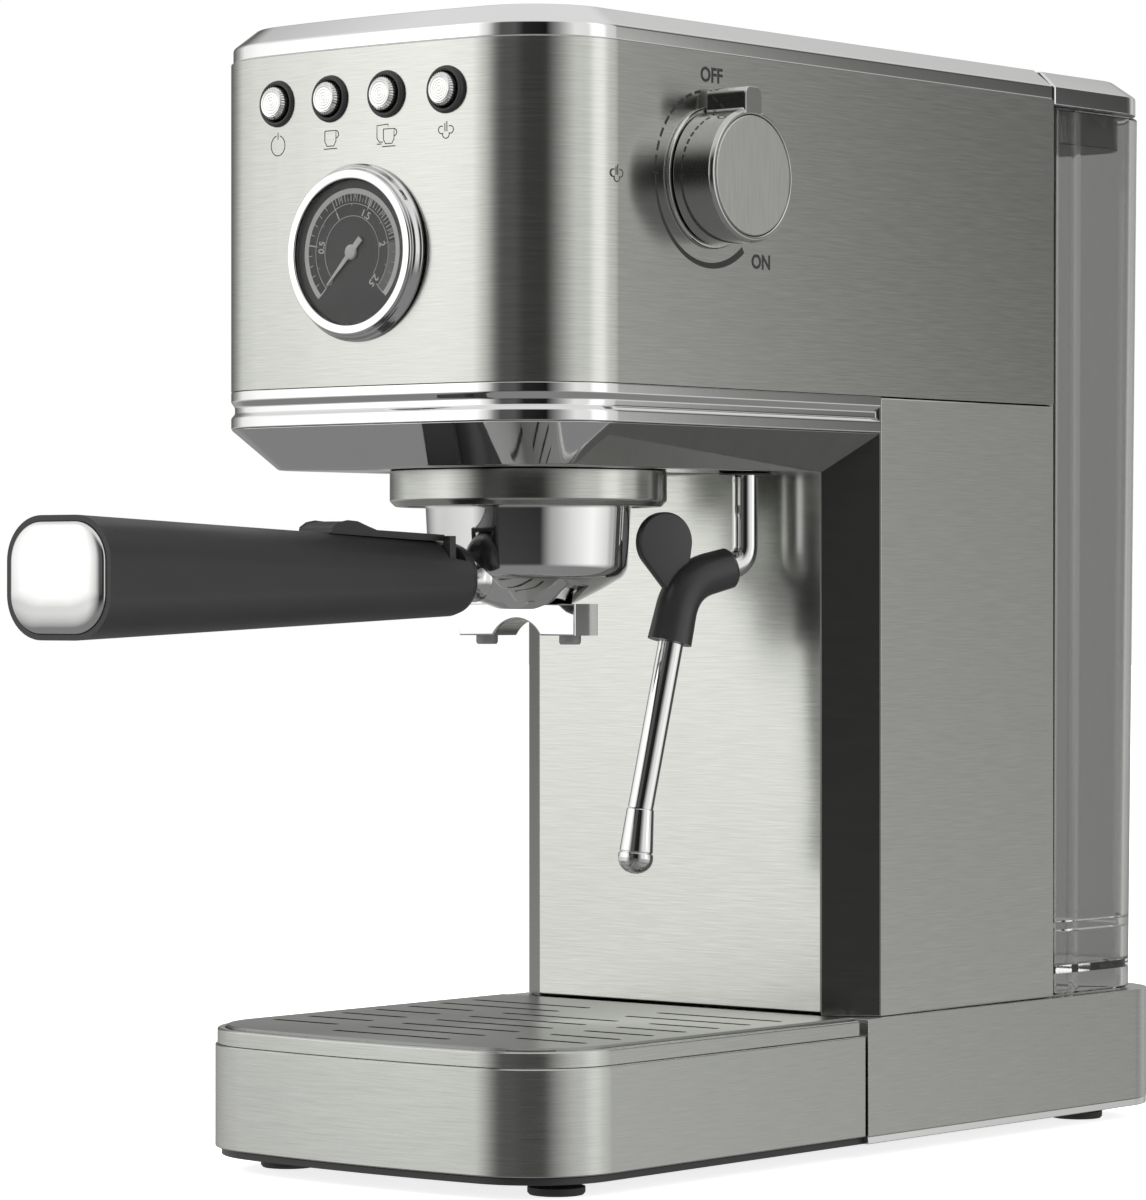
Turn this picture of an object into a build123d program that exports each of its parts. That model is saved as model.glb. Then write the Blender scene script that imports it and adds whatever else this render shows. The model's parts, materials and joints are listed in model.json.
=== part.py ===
"""Slim pump espresso machine, built as an assembly of separate pieces.

Machine axes while modelling: +X to the right, +Y to the rear, +Z up.  X = 0 is the middle
plane, Y = 0 the front of the head, Z = 0 the counter.  Every piece is moved on export so that
the origin is the bottom centre of the whole machine's box.  All sizes are millimetres.
"""
from build123d import *
import math
import os

# ---------------------------------------------------------------- driving dimensions
HEAD_HALF_W = 63.1          # half width of the head and column
BASE_HALF_W = 64.9          # half width of the base and drip tray
BASE_FRONT_Y = -3.7         # front of the drip tray
BASE_REAR_Y = 286.0         # rear of the base
SPLIT_Y = 134.5             # where the drip tray meets the fixed base
HEAD_REAR_Y = 226.4         # rear of the head, where the tank bay starts
BOW_R = 400.0               # the front faces are slightly bowed
HEAD_CORNER_R = 28.0
BASE_CORNER_R = 26.5
REAR_CORNER_R = 20.0

FOOT_H = 4.3                # rubber feet
PLATE_TOP = 6.1             # top of the base plate
PANEL_LOW = 6.4             # lower edge of the base panels
FRAME_LOW = 33.9            # seam between tray body and tray frame
BASE_TOP = 38.3
GRILLE_TOP = 38.9
SKIRT_LOW = 187.1           # flat underside of the head
SKIRT_TOP = 197.9
SKIRT_INSET = 12.7
TRIM_TOP = 208.0
SHELL_TOP = 295.5
BAND_TOP = 299.5
TOP_Z = 304.5
BEVEL_INSET = 7.0
SHEET = 1.2                 # sheet metal thickness

GROUP_Y = 68.2              # brew group axis
LOCK_ANGLE = 4.0            # the locked handle points this far to the right of straight ahead
HANDLE_Z = 157.9
HANDLE_START, HANDLE_END = 32.6, 189.0
COLLAR_R = 37.4
COLLAR_LOW = 177.4
BODY_R = 27.7

GAUGE_Z = 242.4
DIAL_LEVEL = -1.6           # the printed face, ahead of the bowed front
BUTTON_Z = 282.9
BUTTON_X = (-29.4, -9.8, 9.8, 29.4)
BUTTON_R = 4.4

KNOB_Y, KNOB_Z = 67.3, 262.6
KNOB_R = 17.45
KNOB_FACE_X = 77.5

WAND_X, WAND_Y = 33.0, 121.0
WAND_DIR = (-0.39, -0.921)  # plan direction in which the wand leans
PIPE_R = 3.5

TANK_FRONT_Y = 227.6
TANK_REAR_Y = 283.0
LID_AXIS_Y, LID_AXIS_Z = 230.0, 301.6

# The export shift: the bottom centre of the whole box becomes the origin.
HANDLE_TIP_Y = GROUP_Y - (HANDLE_END + 1.9) * math.cos(math.radians(LOCK_ANGLE))
GLAND_FLANGE_Y = BASE_REAR_Y + 2.0
SHIFT_X = -(KNOB_FACE_X - BASE_HALF_W) / 2
SHIFT_Y = -(HANDLE_TIP_Y + GLAND_FLANGE_Y) / 2

os.makedirs("parts", exist_ok=True)


def save(shape, name):
    """Write one piece as its own STEP file, in the finished frame."""
    solids = [s.moved(Location((SHIFT_X, SHIFT_Y, 0))) for s in shape.solids()]
    export_step(Compound(children=solids) if len(solids) > 1 else solids[0], f"parts/{name}.step")


# ---------------------------------------------------------------- helpers
def block(x0, x1, y0, y1, z0, z1):
    """A plain box between two corners."""
    return Pos((x0 + x1) / 2, (y0 + y1) / 2, (z0 + z1) / 2) * Box(x1 - x0, y1 - y0, z1 - z0)


def rod_z(x, y, r, z0, z1):
    """An upright cylinder."""
    return Pos(x, y, (z0 + z1) / 2) * Cylinder(r, z1 - z0)


def rod_y(x, z, r, y0, y1):
    """A cylinder along Y."""
    return Pos(x, (y0 + y1) / 2, z) * Rot(90, 0, 0) * Cylinder(r, y1 - y0)


def rod_x(y, z, r, x0, x1):
    """A cylinder along X."""
    return Pos((x0 + x1) / 2, y, z) * Rot(0, 90, 0) * Cylinder(r, x1 - x0)


def turned(profile):
    """Revolve an (r, z) profile about Z at the origin."""
    face = make_face(Polyline(*[(r, 0, z) for r, z in profile], close=True))
    return revolve(face, Axis.Z)


def plan(half_w, front_y, rear_y, corner_r, inset=0.0, rear_r=0.0, rear_inset=0.0):
    """Plan outline with a bowed front, round front corners and an optional round rear."""
    w, front, rear = half_w - inset, front_y + inset, rear_y - rear_inset
    bow = BOW_R - inset
    outline = Pos(0, (front + rear) / 2) * Rectangle(2 * w, rear - front)
    outline = outline & Pos(0, front + bow) * Circle(bow)
    low = outline.vertices().sort_by(Axis.Y)[:2]
    outline = fillet(low, corner_r - inset)
    if rear_r > 0:
        high = outline.vertices().sort_by(Axis.Y)[-2:]
        outline = fillet(high, rear_r)
    return outline


def head_plan(inset=0.0, rear_y=HEAD_REAR_Y):
    return plan(HEAD_HALF_W, 0.0, rear_y, HEAD_CORNER_R, inset)


def slab(outline, z0, z1):
    """Extrude a plan outline between two heights."""
    return Pos(0, 0, z0) * extrude(outline, amount=z1 - z0)


def blend(low, z0, high, z1):
    """A sloped wall between two similar plan outlines."""
    return loft([Pos(0, 0, z0) * low, Pos(0, 0, z1) * high], ruled=True)


def tube(points, radius, bend):
    """A round bar that follows straight runs joined by arcs."""
    path = FilletPolyline(*points, radius=bend)
    start = Plane(origin=path @ 0, z_dir=path % 0)
    return sweep(start * Circle(radius), path=path)


def mitre(before, corner, after, thickness):
    """The inner corner of a folded sheet, on the left of the path before-corner-after."""
    def unit(a, b):
        length = math.hypot(b[0] - a[0], b[1] - a[1])
        return (b[0] - a[0]) / length, (b[1] - a[1]) / length
    d1, d2 = unit(before, corner), unit(corner, after)
    n1, n2 = (-d1[1], d1[0]), (-d2[1], d2[0])
    k = thickness / (1 + n1[0] * n2[0] + n1[1] * n2[1])
    return corner[0] + k * (n1[0] + n2[0]), corner[1] + k * (n1[1] + n2[1])


# ---------------------------------------------------------------- base and feet
FEET = [(x, y) for x in (-47, 47) for y in (24, 262)]


def base_outline(inset=0.0):
    return plan(BASE_HALF_W, BASE_FRONT_Y, BASE_REAR_Y, BASE_CORNER_R, inset, REAR_CORNER_R, inset)


def rubber_feet():
    foot = turned([(1.7, 0), (7.0, 0), (7.5, 0.6), (7.5, 2.0), (5.2, 2.8), (5.2, FOOT_H),
                   (1.7, FOOT_H)])
    return Compound(children=[Pos(x, y, 0) * foot for x, y in FEET])


def foot_screws():
    screw = turned([(0, 0.9), (1.6, 0.9), (1.6, 5.9), (0, 5.9)])
    return Compound(children=[Pos(x, y, 0) * screw for x, y in FEET])


def base_plate():
    plate = slab(base_outline(1.75), FOOT_H, PLATE_TOP)
    for x, y in FEET:
        plate -= rod_z(x, y, 1.7, FOOT_H - 1, PLATE_TOP + 1)
    return plate


def rear_part(shape):
    """Keep what lies behind the tray split."""
    return shape & block(-90, 90, SPLIT_Y, 320, -1, 320)


def base_rear_strip():
    ring = slab(base_outline(0.1), FOOT_H, PANEL_LOW) - slab(base_outline(1.65), 0, 60)
    return rear_part(ring)


def base_shell():
    """Fixed rear half of the base: open below, with a ledge for the tank on top."""
    body = slab(base_outline(0), PANEL_LOW, BASE_TOP)
    body -= slab(base_outline(2.0), 0, BASE_TOP - 2.0)
    body = rear_part(body)
    body += block(-BASE_HALF_W + 1, BASE_HALF_W - 1, SPLIT_Y, SPLIT_Y + 2, PANEL_LOW, BASE_TOP)
    body -= block(-46, 46, 142, 227.5, BASE_TOP - 5, BASE_TOP + 5)
    body -= rod_z(0, DOCK_Y, 12.2, BASE_TOP - 5, BASE_TOP + 5)
    body -= rod_y(GLAND_X, GLAND_Z, 6.1, BASE_REAR_Y - 8, BASE_REAR_Y + 5)
    return body


DOCK_Y = 254.0
GLAND_X, GLAND_Z = -32.0, 22.0


def cord_gland():
    """Moulded bush that the mains lead would pass through."""
    gland = turned([(3.6, 0), (9.0, 0), (9.0, 2.0), (6.0, 2.0), (6.0, 9.0), (3.6, 9.0)])
    return Pos(GLAND_X, GLAND_FLANGE_Y, GLAND_Z) * Rot(90, 0, 0) * gland


# ---------------------------------------------------------------- column
SIDE_TOP = 207.6
COLUMN_FRONT_Y = 132.3
COLUMN_SIDE_Y = 142.7
PLATE_HALF_W = 50.4
CHAMFER_A = (HEAD_HALF_W, COLUMN_SIDE_Y)
CHAMFER_B = (PLATE_HALF_W, COLUMN_FRONT_Y)


def sheet(points, z0, z1):
    face = make_face(Polyline(*[(x, y) for x, y in points], close=True))
    return Pos(0, 0, z0) * extrude(face, amount=z1 - z0)


def corner_pieces(side):
    """Side panel, corner strip and half front plate share mitred corners."""
    rear, mid = (HEAD_HALF_W, HEAD_REAR_Y), (0, COLUMN_FRONT_Y)
    in_a = mitre(rear, CHAMFER_A, CHAMFER_B, -SHEET)
    in_b = mitre(CHAMFER_A, CHAMFER_B, mid, -SHEET)
    panel = [CHAMFER_A, rear, (HEAD_HALF_W - SHEET, HEAD_REAR_Y), in_a]
    strip = [CHAMFER_A, CHAMFER_B, in_b, in_a]
    return [[(side * x, y) for x, y in outline] for outline in (panel, strip)]


def column_side(side):
    return sheet(corner_pieces(side)[0], BASE_TOP + 0.2, SIDE_TOP)


def column_corner_strips():
    strips = [sheet(corner_pieces(side)[1], BASE_TOP + 0.2, SIDE_TOP - 0.4) for side in (-1, 1)]
    return Compound(children=strips)


def column_front_plate():
    in_b = mitre(CHAMFER_A, CHAMFER_B, (0, COLUMN_FRONT_Y), -SHEET)
    outline = [(-PLATE_HALF_W, COLUMN_FRONT_Y), CHAMFER_B, in_b, (-in_b[0], in_b[1])]
    return sheet(outline, 39.5, SKIRT_LOW + 1.4)


def rear_panel():
    return block(-61.7, 61.7, HEAD_REAR_Y - 1.6, HEAD_REAR_Y, BASE_TOP + 0.2, SHELL_TOP - 0.3)


def column_mask():
    """The space that the column fills, which ends the skirt and trim."""
    outline = [(-HEAD_HALF_W - 30, COLUMN_SIDE_Y), (-HEAD_HALF_W, COLUMN_SIDE_Y),
               (-PLATE_HALF_W, COLUMN_FRONT_Y), CHAMFER_B, CHAMFER_A,
               (HEAD_HALF_W + 30, COLUMN_SIDE_Y), (HEAD_HALF_W + 30, 300), (-HEAD_HALF_W - 30, 300)]
    return sheet(outline, 0, 320)


# ---------------------------------------------------------------- head casing
def head_shell():
    """Brushed wrap of the head, with the gauge, button and steam valve holes."""
    shell = slab(head_plan(), TRIM_TOP, SHELL_TOP) - slab(head_plan(SHEET, 260), 200, 300)
    shell -= rod_y(0, GAUGE_Z, 21.4, -5, 20)
    for x in BUTTON_X:
        shell -= rod_y(x, BUTTON_Z, 6.15, -5, 20)
    shell -= rod_x(KNOB_Y, KNOB_Z, 8.0, 50, 70)
    return shell


def head_lower_trim():
    """Bright band under the head wrap, with a groove round its middle."""
    levels = [(197.9, 0.0), (200.9, 0.0), (202.1, 1.0), (203.8, 1.0), (205.2, 0.0), (TRIM_TOP, 0.0)]
    body = None
    for (z0, i0), (z1, i1) in zip(levels, levels[1:]):
        same = i0 == i1
        step = slab(head_plan(i0), z0, z1) if same else blend(head_plan(i0), z0, head_plan(i1), z1)
        body = step if body is None else body + step
    body -= slab(head_plan(3.0, 300), 190, 215)
    return body - column_mask()


def head_skirt():
    """Sloped apron and flat underside, one pressing."""
    outer = blend(head_plan(SKIRT_INSET), SKIRT_LOW, head_plan(0.0), SKIRT_TOP)
    inner = blend(head_plan(SKIRT_INSET + 1.2, 290), SKIRT_LOW + 1.4,
                  head_plan(1.4, 290), SKIRT_TOP + 0.01)
    skirt = outer - inner - column_mask()
    skirt -= rod_z(0, GROUP_Y, 34.4, 180, 195)
    return skirt - rod_z(WAND_X, WAND_Y, 6.05, 180, 195)


def top_trim():
    """Bright band and bevel round the top edge."""
    band = slab(head_plan(0.6), SHELL_TOP, BAND_TOP)
    bevel = blend(head_plan(0.6), BAND_TOP, head_plan(BEVEL_INSET), TOP_Z)
    return band + bevel - slab(head_plan(BEVEL_INSET + 1.0), 290, 310)


def top_deck():
    """Cup-warming plate, set just below the bevel, with warm-air slots."""
    deck = slab(head_plan(BEVEL_INSET + 1.1, HEAD_REAR_Y), TOP_Z - 2.0, TOP_Z - 0.5)
    for row in range(5):
        for x in (-30, 0, 30):
            y = 60 + 30 * row
            deck -= Pos(x, y, TOP_Z - 1) * extrude(SlotOverall(18, 2.4), amount=4, both=True)
    return deck


# ---------------------------------------------------------------- brew group
def at_group(shape):
    return Pos(0, GROUP_Y, 0) * shape


def group_collar():
    """Brushed ring with an inner ledge that the portafilter's ears turn onto."""
    ring = turned([(34.1, 179.0), (34.1, SKIRT_LOW), (COLLAR_R, SKIRT_LOW),
                   (COLLAR_R, COLLAR_LOW + 1.5), (COLLAR_R - 1.5, COLLAR_LOW), (29.3, COLLAR_LOW),
                   (29.3, 179.0)])
    for a in (LOCK_ANGLE - 50, LOCK_ANGLE + 130):
        notch = turned_sector(28.0, 34.1, COLLAR_LOW - 1, 179.5, a, 24)
        ring -= notch
    return at_group(ring)


def turned_sector(r0, r1, z0, z1, angle, half):
    """A piece of a ring, centred on the direction angle (0 is straight ahead)."""
    centre = angle - 90
    points = [(r1 * 2 * math.cos(math.radians(centre + s)), r1 * 2 * math.sin(math.radians(centre + s)))
              for s in (-half, 0, half)]
    wedge = make_face(Polyline((0, 0), *points, close=True))
    ring = Circle(r1) - Circle(r0)
    return Pos(0, 0, z0) * extrude(ring & wedge, amount=z1 - z0)


def group_head():
    head = turned([(0, 185.0), (25.4, 185.0), (25.4, 190.0), (30.8, 190.0), (30.8, 184.9),
                   (33.6, 184.9), (33.6, 206.0), (14.0, 206.0), (14.0, 214.0), (0, 214.0)])
    return at_group(head)


def group_gasket():
    return at_group(turned([(25.5, 184.9), (30.7, 184.9), (30.7, 190.0), (25.5, 190.0)]))


def shower_screen():
    disc = turned([(0, 182.6), (22.5, 183.0), (23.6, 184.0), (23.6, 185.0), (0, 185.0)])
    for ring_r, count in ((7, 8), (13, 14), (19, 20)):
        for hole in PolarLocations(ring_r, count):
            disc -= Pos(0, 0, 183.5) * hole * Cylinder(0.6, 2.0)
    return at_group(disc)


# ---------------------------------------------------------------- portafilter
def at_handle(shape):
    """Place a piece built with the handle along -Y into the locked position."""
    return Pos(0, GROUP_Y, 0) * Rot(0, 0, LOCK_ANGLE) * shape


BASKET_R = 25.5             # 51 mm basket


def portafilter_body():
    body = turned([(26.2, 184.0), (28.5, 184.0), (28.5, 178.6), (BODY_R, 177.4), (26.8, 160.3),
                   (20.0, 155.3), (13.0, 151.6), (8.0, 149.8), (3.0, 149.8), (3.0, 157.0),
                   (22.0, 160.5), (24.3, 163.0)])
    for a in (0, 180):
        body += turned_sector(28.0, 33.6, 179.4, 182.8, a, 20)
    neck = rod_y(0, HANDLE_Z, 5.0, -HANDLE_START, -21.5)
    stud = rod_y(0, HANDLE_Z, 3.0, -HANDLE_START - 40, -HANDLE_START)
    return at_handle(body + (neck - turned([(0, 140), (24, 140), (24, 170), (0, 170)])) + stud)


def filter_basket():
    wall = 0.6
    cup = turned([(0, 163.4), (22.6, 163.4), (23.6, 164.4), (BASKET_R + 0.4, 183.4),
                  (BASKET_R + 0.4, 184.05), (28.2, 184.05), (28.2, 184.6), (BASKET_R, 184.6),
                  (BASKET_R - 0.2, 183.0),
                  (23.6 - wall, 165.0), (22.2, 164.0), (0, 164.0)])
    for ring_r, count in ((5, 6), (10, 12), (15, 18), (19, 24)):
        for hole in PolarLocations(ring_r, count):
            cup -= Pos(0, 0, 163.7) * hole * Cylinder(0.45, 3.0)
    return at_handle(cup)


SPOUT_HALF_W, SPOUT_HALF_D = 19.3, 5.5
SPOUT_LOW = 142.8
ARCH_HALF_W, ARCH_RISE = 7.8, 4.4
NOZZLE_X = 13.9


def portafilter_spout():
    """Two-way spout block with an arch under its middle."""
    block_shape = block(-SPOUT_HALF_W, SPOUT_HALF_W, -SPOUT_HALF_D, SPOUT_HALF_D, SPOUT_LOW, 151.5)
    block_shape = fillet(block_shape.edges().filter_by(Axis.Z), 1.2)
    arch_r = (ARCH_HALF_W ** 2 + ARCH_RISE ** 2) / (2 * ARCH_RISE)
    block_shape -= Pos(0, 0, SPOUT_LOW + ARCH_RISE - arch_r) * Rot(90, 0, 0) * Cylinder(arch_r, 30)
    block_shape -= turned([(0, 149.75), (8.0, 149.75), (13.0, 151.55), (20.0, 155.3), (0, 155.3)])
    for side in (-1, 1):
        block_shape -= rod_z(side * NOZZLE_X, 0, 2.0, 140, 148)
    block_shape -= block(-NOZZLE_X - 2, NOZZLE_X + 2, -2, 2, 147.9, 149.3)
    return at_handle(block_shape - rod_z(0, 0, 2.6, 148, 152))


def spout_nozzles():
    tip = turned([(1.6, 140.4), (2.6, 140.4), (2.95, 141.0), (2.95, 142.75), (1.95, 142.75),
                  (1.95, 146.5), (1.6, 146.5)])
    tips = [Pos(side * NOZZLE_X, 0, 0) * tip for side in (-1, 1)]
    return at_handle(Compound(children=tips))


def grip_section(rho, width, height, radius):
    """Rounded rectangle across the handle, at a distance from the group axis."""
    plane = Plane(origin=(0, -rho, HANDLE_Z), x_dir=(1, 0, 0), z_dir=(0, -1, 0))
    return plane * RectangleRounded(width, height, radius)


def grip_size(rho):
    """Width and height of the grip, growing evenly towards its outer end."""
    t = (rho - 38.0) / (HANDLE_END - 38.0)
    return 19.7 + 13.3 * t, 19.7 + 10.3 * t, 8.6 + 2.4 * t


def handle_grip():
    nose = [(HANDLE_START, 0.66), (HANDLE_START + 0.9, 0.82), (HANDLE_START + 2.8, 0.94)]
    sections = []
    for rho, scale in nose:
        w, h, r = grip_size(38.0)
        sections.append(grip_section(rho, w * scale, h * scale, r * scale))
    for rho in (38.0, 90.0, 140.0, HANDLE_END):
        sections.append(grip_section(rho, *grip_size(rho)))
    grip = loft(sections[:4], ruled=True) + loft(sections[3:], ruled=True)
    grip -= rod_y(0, HANDLE_Z, 3.05, -HANDLE_START - 41, -HANDLE_START + 2)
    w, h, r = grip_size(HANDLE_END)
    cap_seat = extrude(grip_section(HANDLE_END - 2.0, w - 2.8, h - 2.8, r - 1.4), amount=5)
    grip -= cap_seat
    for side in (-1, 1):
        grip -= block(side * 7.6 - 1.6, side * 7.6 + 1.6, -47.4, -39.8, CLIP_Z - 5, CLIP_Z + 9)
    return at_handle(grip - rod_x(-CLIP_RHO, CLIP_Z, 1.25, -12, 12))


def handle_end_cap():
    """Slightly domed bright cap, let into the end of the grip."""
    w, h, r = grip_size(HANDLE_END)
    seat = extrude(grip_section(HANDLE_END - 1.95, w - 3.0, h - 3.0, r - 1.5), amount=2.35)
    low = grip_section(HANDLE_END + 0.4, w - 3.0, h - 3.0, r - 1.5)
    mid = grip_section(HANDLE_END + 1.3, w - 6.4, h - 6.4, r - 2.4)
    high = grip_section(HANDLE_END + 1.9, w - 16.0, h - 16.0, r - 5.0)
    return at_handle(seat + loft([low, mid, high], ruled=True))


CLIP_RHO, CLIP_Z = 44.0, 165.6
CLIP_HALF_W = 5.4


def basket_clip():
    """Thumb clip that swings over to hold the basket when the puck is knocked out."""
    def top(rho):
        return HANDLE_Z + grip_size(rho)[1] / 2

    lift = [(44.6, 0.5), (58, 0.5), (91.5, 0.5), (91.0, 1.9), (88.5, 3.1), (85, 3.7), (81, 3.6),
            (77, 2.7), (73, 1.9), (44.6, 2.1)]
    face = make_face(Polyline(*[(0, -rho, top(rho) + rise) for rho, rise in lift], close=True))
    arm = extrude(face, amount=CLIP_HALF_W, both=True)
    ears = block(-8.8, 8.8, -46.4, -44.0, top(50) + 0.6, top(CLIP_RHO) + 2.1)
    for side in (-1, 1):
        ears += rod_x(-CLIP_RHO, CLIP_Z, 2.8, side * 7.6 - 1.2, side * 7.6 + 1.2)
        ears += block(side * 7.6 - 1.2, side * 7.6 + 1.2, -46.4, -44.0, CLIP_Z, top(50) + 0.7)
    pin = rod_x(-CLIP_RHO, CLIP_Z, 1.2, -8.8, 8.8)
    return at_handle(arm + ears + pin)


# ---------------------------------------------------------------- controls
def bow_y(x):
    """How far back the bowed front is at a distance from the middle."""
    return BOW_R - math.sqrt(BOW_R ** 2 - x ** 2)


def at_front(shape, x, z):
    """Turn a piece made along +Z, facing down, so that it faces the front."""
    return Pos(x, bow_y(x), z) * Rot(-90, 0, 0) * shape


def button_bezels():
    ring = turned([(4.75, -0.7), (5.1, -1.1), (5.7, -1.1), (6.05, -0.6), (6.05, 3.5), (4.75, 3.5)])
    return Compound(children=[at_front(ring, x, BUTTON_Z) for x in BUTTON_X])


def button(x):
    cap = turned([(0, -3.0), (3.4, -3.0), (3.4, -2.7), (3.9, -2.7), (BUTTON_R, -2.0), (BUTTON_R, 4.6),
                  (1.6, 4.6), (1.6, 8.0), (0, 8.0)])
    return at_front(cap, x, BUTTON_Z)


def control_board():
    board = block(-42, 42, 15.0, 16.6, 273.5, 292.0)
    for x in BUTTON_X:
        board += block(x - 3, x + 3, 11.9 + bow_y(x), 15.2, BUTTON_Z - 3, BUTTON_Z + 3)
        board += rod_y(x, BUTTON_Z, 1.4, 10.6 + bow_y(x), 12.2 + bow_y(x))
    board += block(-20, 20, 16.4, 24.0, 274.5, 284.0)
    return board


def at_gauge(shape):
    """Turn a piece made along +Z so that its low end faces the front."""
    return Pos(0, 0, GAUGE_Z) * Rot(-90, 0, 0) * shape


def gauge_bezel():
    ring = turned([(18.9, -2.9), (19.6, -3.9), (20.6, -4.0), (21.3, -3.3), (21.4, -2.6), (22.6, -1.3),
                   (23.1, -0.6), (23.1, -0.05), (20.85, -0.05), (20.85, 0.35), (18.9, 0.35)])
    return at_gauge(ring)


def gauge_case():
    cup = turned([(0, 9.0), (19.3, 9.0), (19.3, 0.4), (21.0, 0.4), (21.0, 20.0), (6.0, 20.0),
                  (6.0, 26.0), (0, 26.0)])
    return at_gauge(cup)


def gauge_dial():
    """Printed plate with a short rim, held just inside the bezel."""
    return at_gauge(turned([(0.88, DIAL_LEVEL), (18.7, DIAL_LEVEL), (18.7, 0.35), (17.2, 0.35),
                            (17.2, DIAL_LEVEL + 0.7), (0.88, DIAL_LEVEL + 0.7)]))


def gauge_lens():
    return at_gauge(turned([(0, -3.7), (18.8, -3.7), (18.8, -3.1), (0, -3.1)]))


NEEDLE_TIP, NEEDLE_TAIL = 11.7, 4.9
NEEDLE_REST = -135          # degrees from straight up to zero, low on the left


def gauge_needle():
    hub = turned([(0, -2.9), (1.6, -2.9), (2.0, -2.7), (2.0, -1.8), (0.8, -1.8), (0.8, 8.0), (0, 8.0)])
    outline = Polyline((-0.3, -NEEDLE_TIP), (0.3, -NEEDLE_TIP), (0.8, 0), (0.8, NEEDLE_TAIL),
                       (-0.8, NEEDLE_TAIL), (-0.8, 0), close=True)
    blade = Pos(0, 0, -2.3) * extrude(make_face(outline), amount=0.2, both=True)
    return Pos(0, 0, GAUGE_Z) * Rot(0, NEEDLE_REST, 0) * Rot(-90, 0, 0) * (hub + blade)


def knob_base_ring():
    ring = turned([(8.2, 0.05), (18.5, 0.05), (18.5, 0.7), (18.1, 1.0), (8.2, 1.0)])
    return Pos(HEAD_HALF_W, KNOB_Y, KNOB_Z) * Rot(0, 90, 0) * ring


def at_knob(shape):
    return Pos(HEAD_HALF_W, KNOB_Y, KNOB_Z) * Rot(0, 90, 0) * shape


KNOB_DEPTH = KNOB_FACE_X - HEAD_HALF_W


def steam_knob():
    """Steam knob with its pointer lug and spindle; it is closed when the lug is on top."""
    body = turned([(0, 1.4), (KNOB_R, 1.4), (KNOB_R, KNOB_DEPTH - 0.9), (KNOB_R - 0.6, KNOB_DEPTH),
                   (15.85, KNOB_DEPTH), (15.85, KNOB_DEPTH - 1.0), (0, KNOB_DEPTH - 1.0)])
    lug = block(-(KNOB_R + 5.7), -(KNOB_R - 3), -3.5, 3.5, 1.4, KNOB_DEPTH)
    lug = fillet(lug.edges().filter_by(Axis.Z).group_by(Axis.X)[0], 2.0)
    spindle = rod_z(0, 0, 3.0, -13.0, 2.0)
    lug -= turned([(0, 0), (KNOB_R - 1, 0), (KNOB_R - 1, 20), (0, 20)])
    return at_knob(body + lug + spindle)


def steam_knob_face():
    return at_knob(turned([(0, KNOB_DEPTH - 0.95), (15.7, KNOB_DEPTH - 0.95),
                           (15.7, KNOB_DEPTH - 0.25), (15.4, KNOB_DEPTH), (0, KNOB_DEPTH)]))


# ---------------------------------------------------------------- steam wand
def wand_point(rho, z):
    """A point in the wand's upright plane."""
    return WAND_X + rho * WAND_DIR[0], WAND_Y + rho * WAND_DIR[1], z


WAND_TOP_Z = 196.0
ELBOW_1 = wand_point(0.0, 162.4)
ELBOW_2 = wand_point(19.6, 157.4)
SLEEVE_START = wand_point(4.6, 161.2)
SLEEVE_END = wand_point(23.5, 140.9)
TIP_START = wand_point(32.4, 95.8)
TIP_END = wand_point(34.4, 78.2)


def lerp(a, b, t):
    return tuple(p + (q - p) * t for p, q in zip(a, b))


PIPE_ROUTE = [(WAND_X, WAND_Y, WAND_TOP_Z), ELBOW_1, ELBOW_2, lerp(SLEEVE_END, TIP_START, 0.98)]
PIPE_BENDS = [5.0, 9.0]
PADDLE_R = 8.2


def steam_pipe():
    """One bent tube from the valve joint to the tip."""
    return tube(PIPE_ROUTE, PIPE_R, PIPE_BENDS)


def wand_sleeve():
    """Silicone sleeve over the elbow, with a flat thumb paddle in the wand's upright plane."""
    sleeve = tube([SLEEVE_START, ELBOW_2, SLEEVE_END], 5.75, 9.0)
    swing_plane = Plane(origin=(WAND_X, WAND_Y, 0), x_dir=(*WAND_DIR, 0),
                        z_dir=(WAND_DIR[1], -WAND_DIR[0], 0))
    lobe = Pos(25.2, 168.0) * Circle(PADDLE_R)
    stalk = make_face(Polyline((19.1, 155.0), (17.6, 166.0), (32.4, 165.0), (24.3, 155.0), close=True))
    paddle = swing_plane * extrude(lobe + stalk, amount=1.5, both=True)
    return sleeve + paddle - tube(PIPE_ROUTE, PIPE_R + 0.02, PIPE_BENDS)


def wand_tip():
    """Turned steam tip that widens to a rounded end."""
    length = math.dist(TIP_START, TIP_END)
    tip = turned([(1.0, 0), (3.6, 0), (4.6, 11.6), (4.9, 12.2), (4.9, length - 4.2),
                  (4.3, length - 1.8), (2.6, length - 0.4), (1.0, length)])
    axis = tuple(b - a for a, b in zip(TIP_START, TIP_END))
    return Plane(origin=TIP_START, z_dir=axis) * tip


def wand_bush():
    """Plain bush in the underside that the wand turns in."""
    bush = turned([(PIPE_R + 0.06, SKIRT_LOW - 0.6), (7.2, SKIRT_LOW - 0.6), (7.2, SKIRT_LOW - 0.05),
                   (6.0, SKIRT_LOW - 0.05), (6.0, 199.9), (PIPE_R + 0.06, 199.9)])
    return Pos(WAND_X, WAND_Y, 0) * bush


# ---------------------------------------------------------------- drip tray
TRAY_REAR_Y = SPLIT_Y - 1.0


def tray_plan(inset=0.0, rear_inset=0.0):
    return plan(BASE_HALF_W, BASE_FRONT_Y, TRAY_REAR_Y, BASE_CORNER_R, inset, 0, rear_inset)


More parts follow.
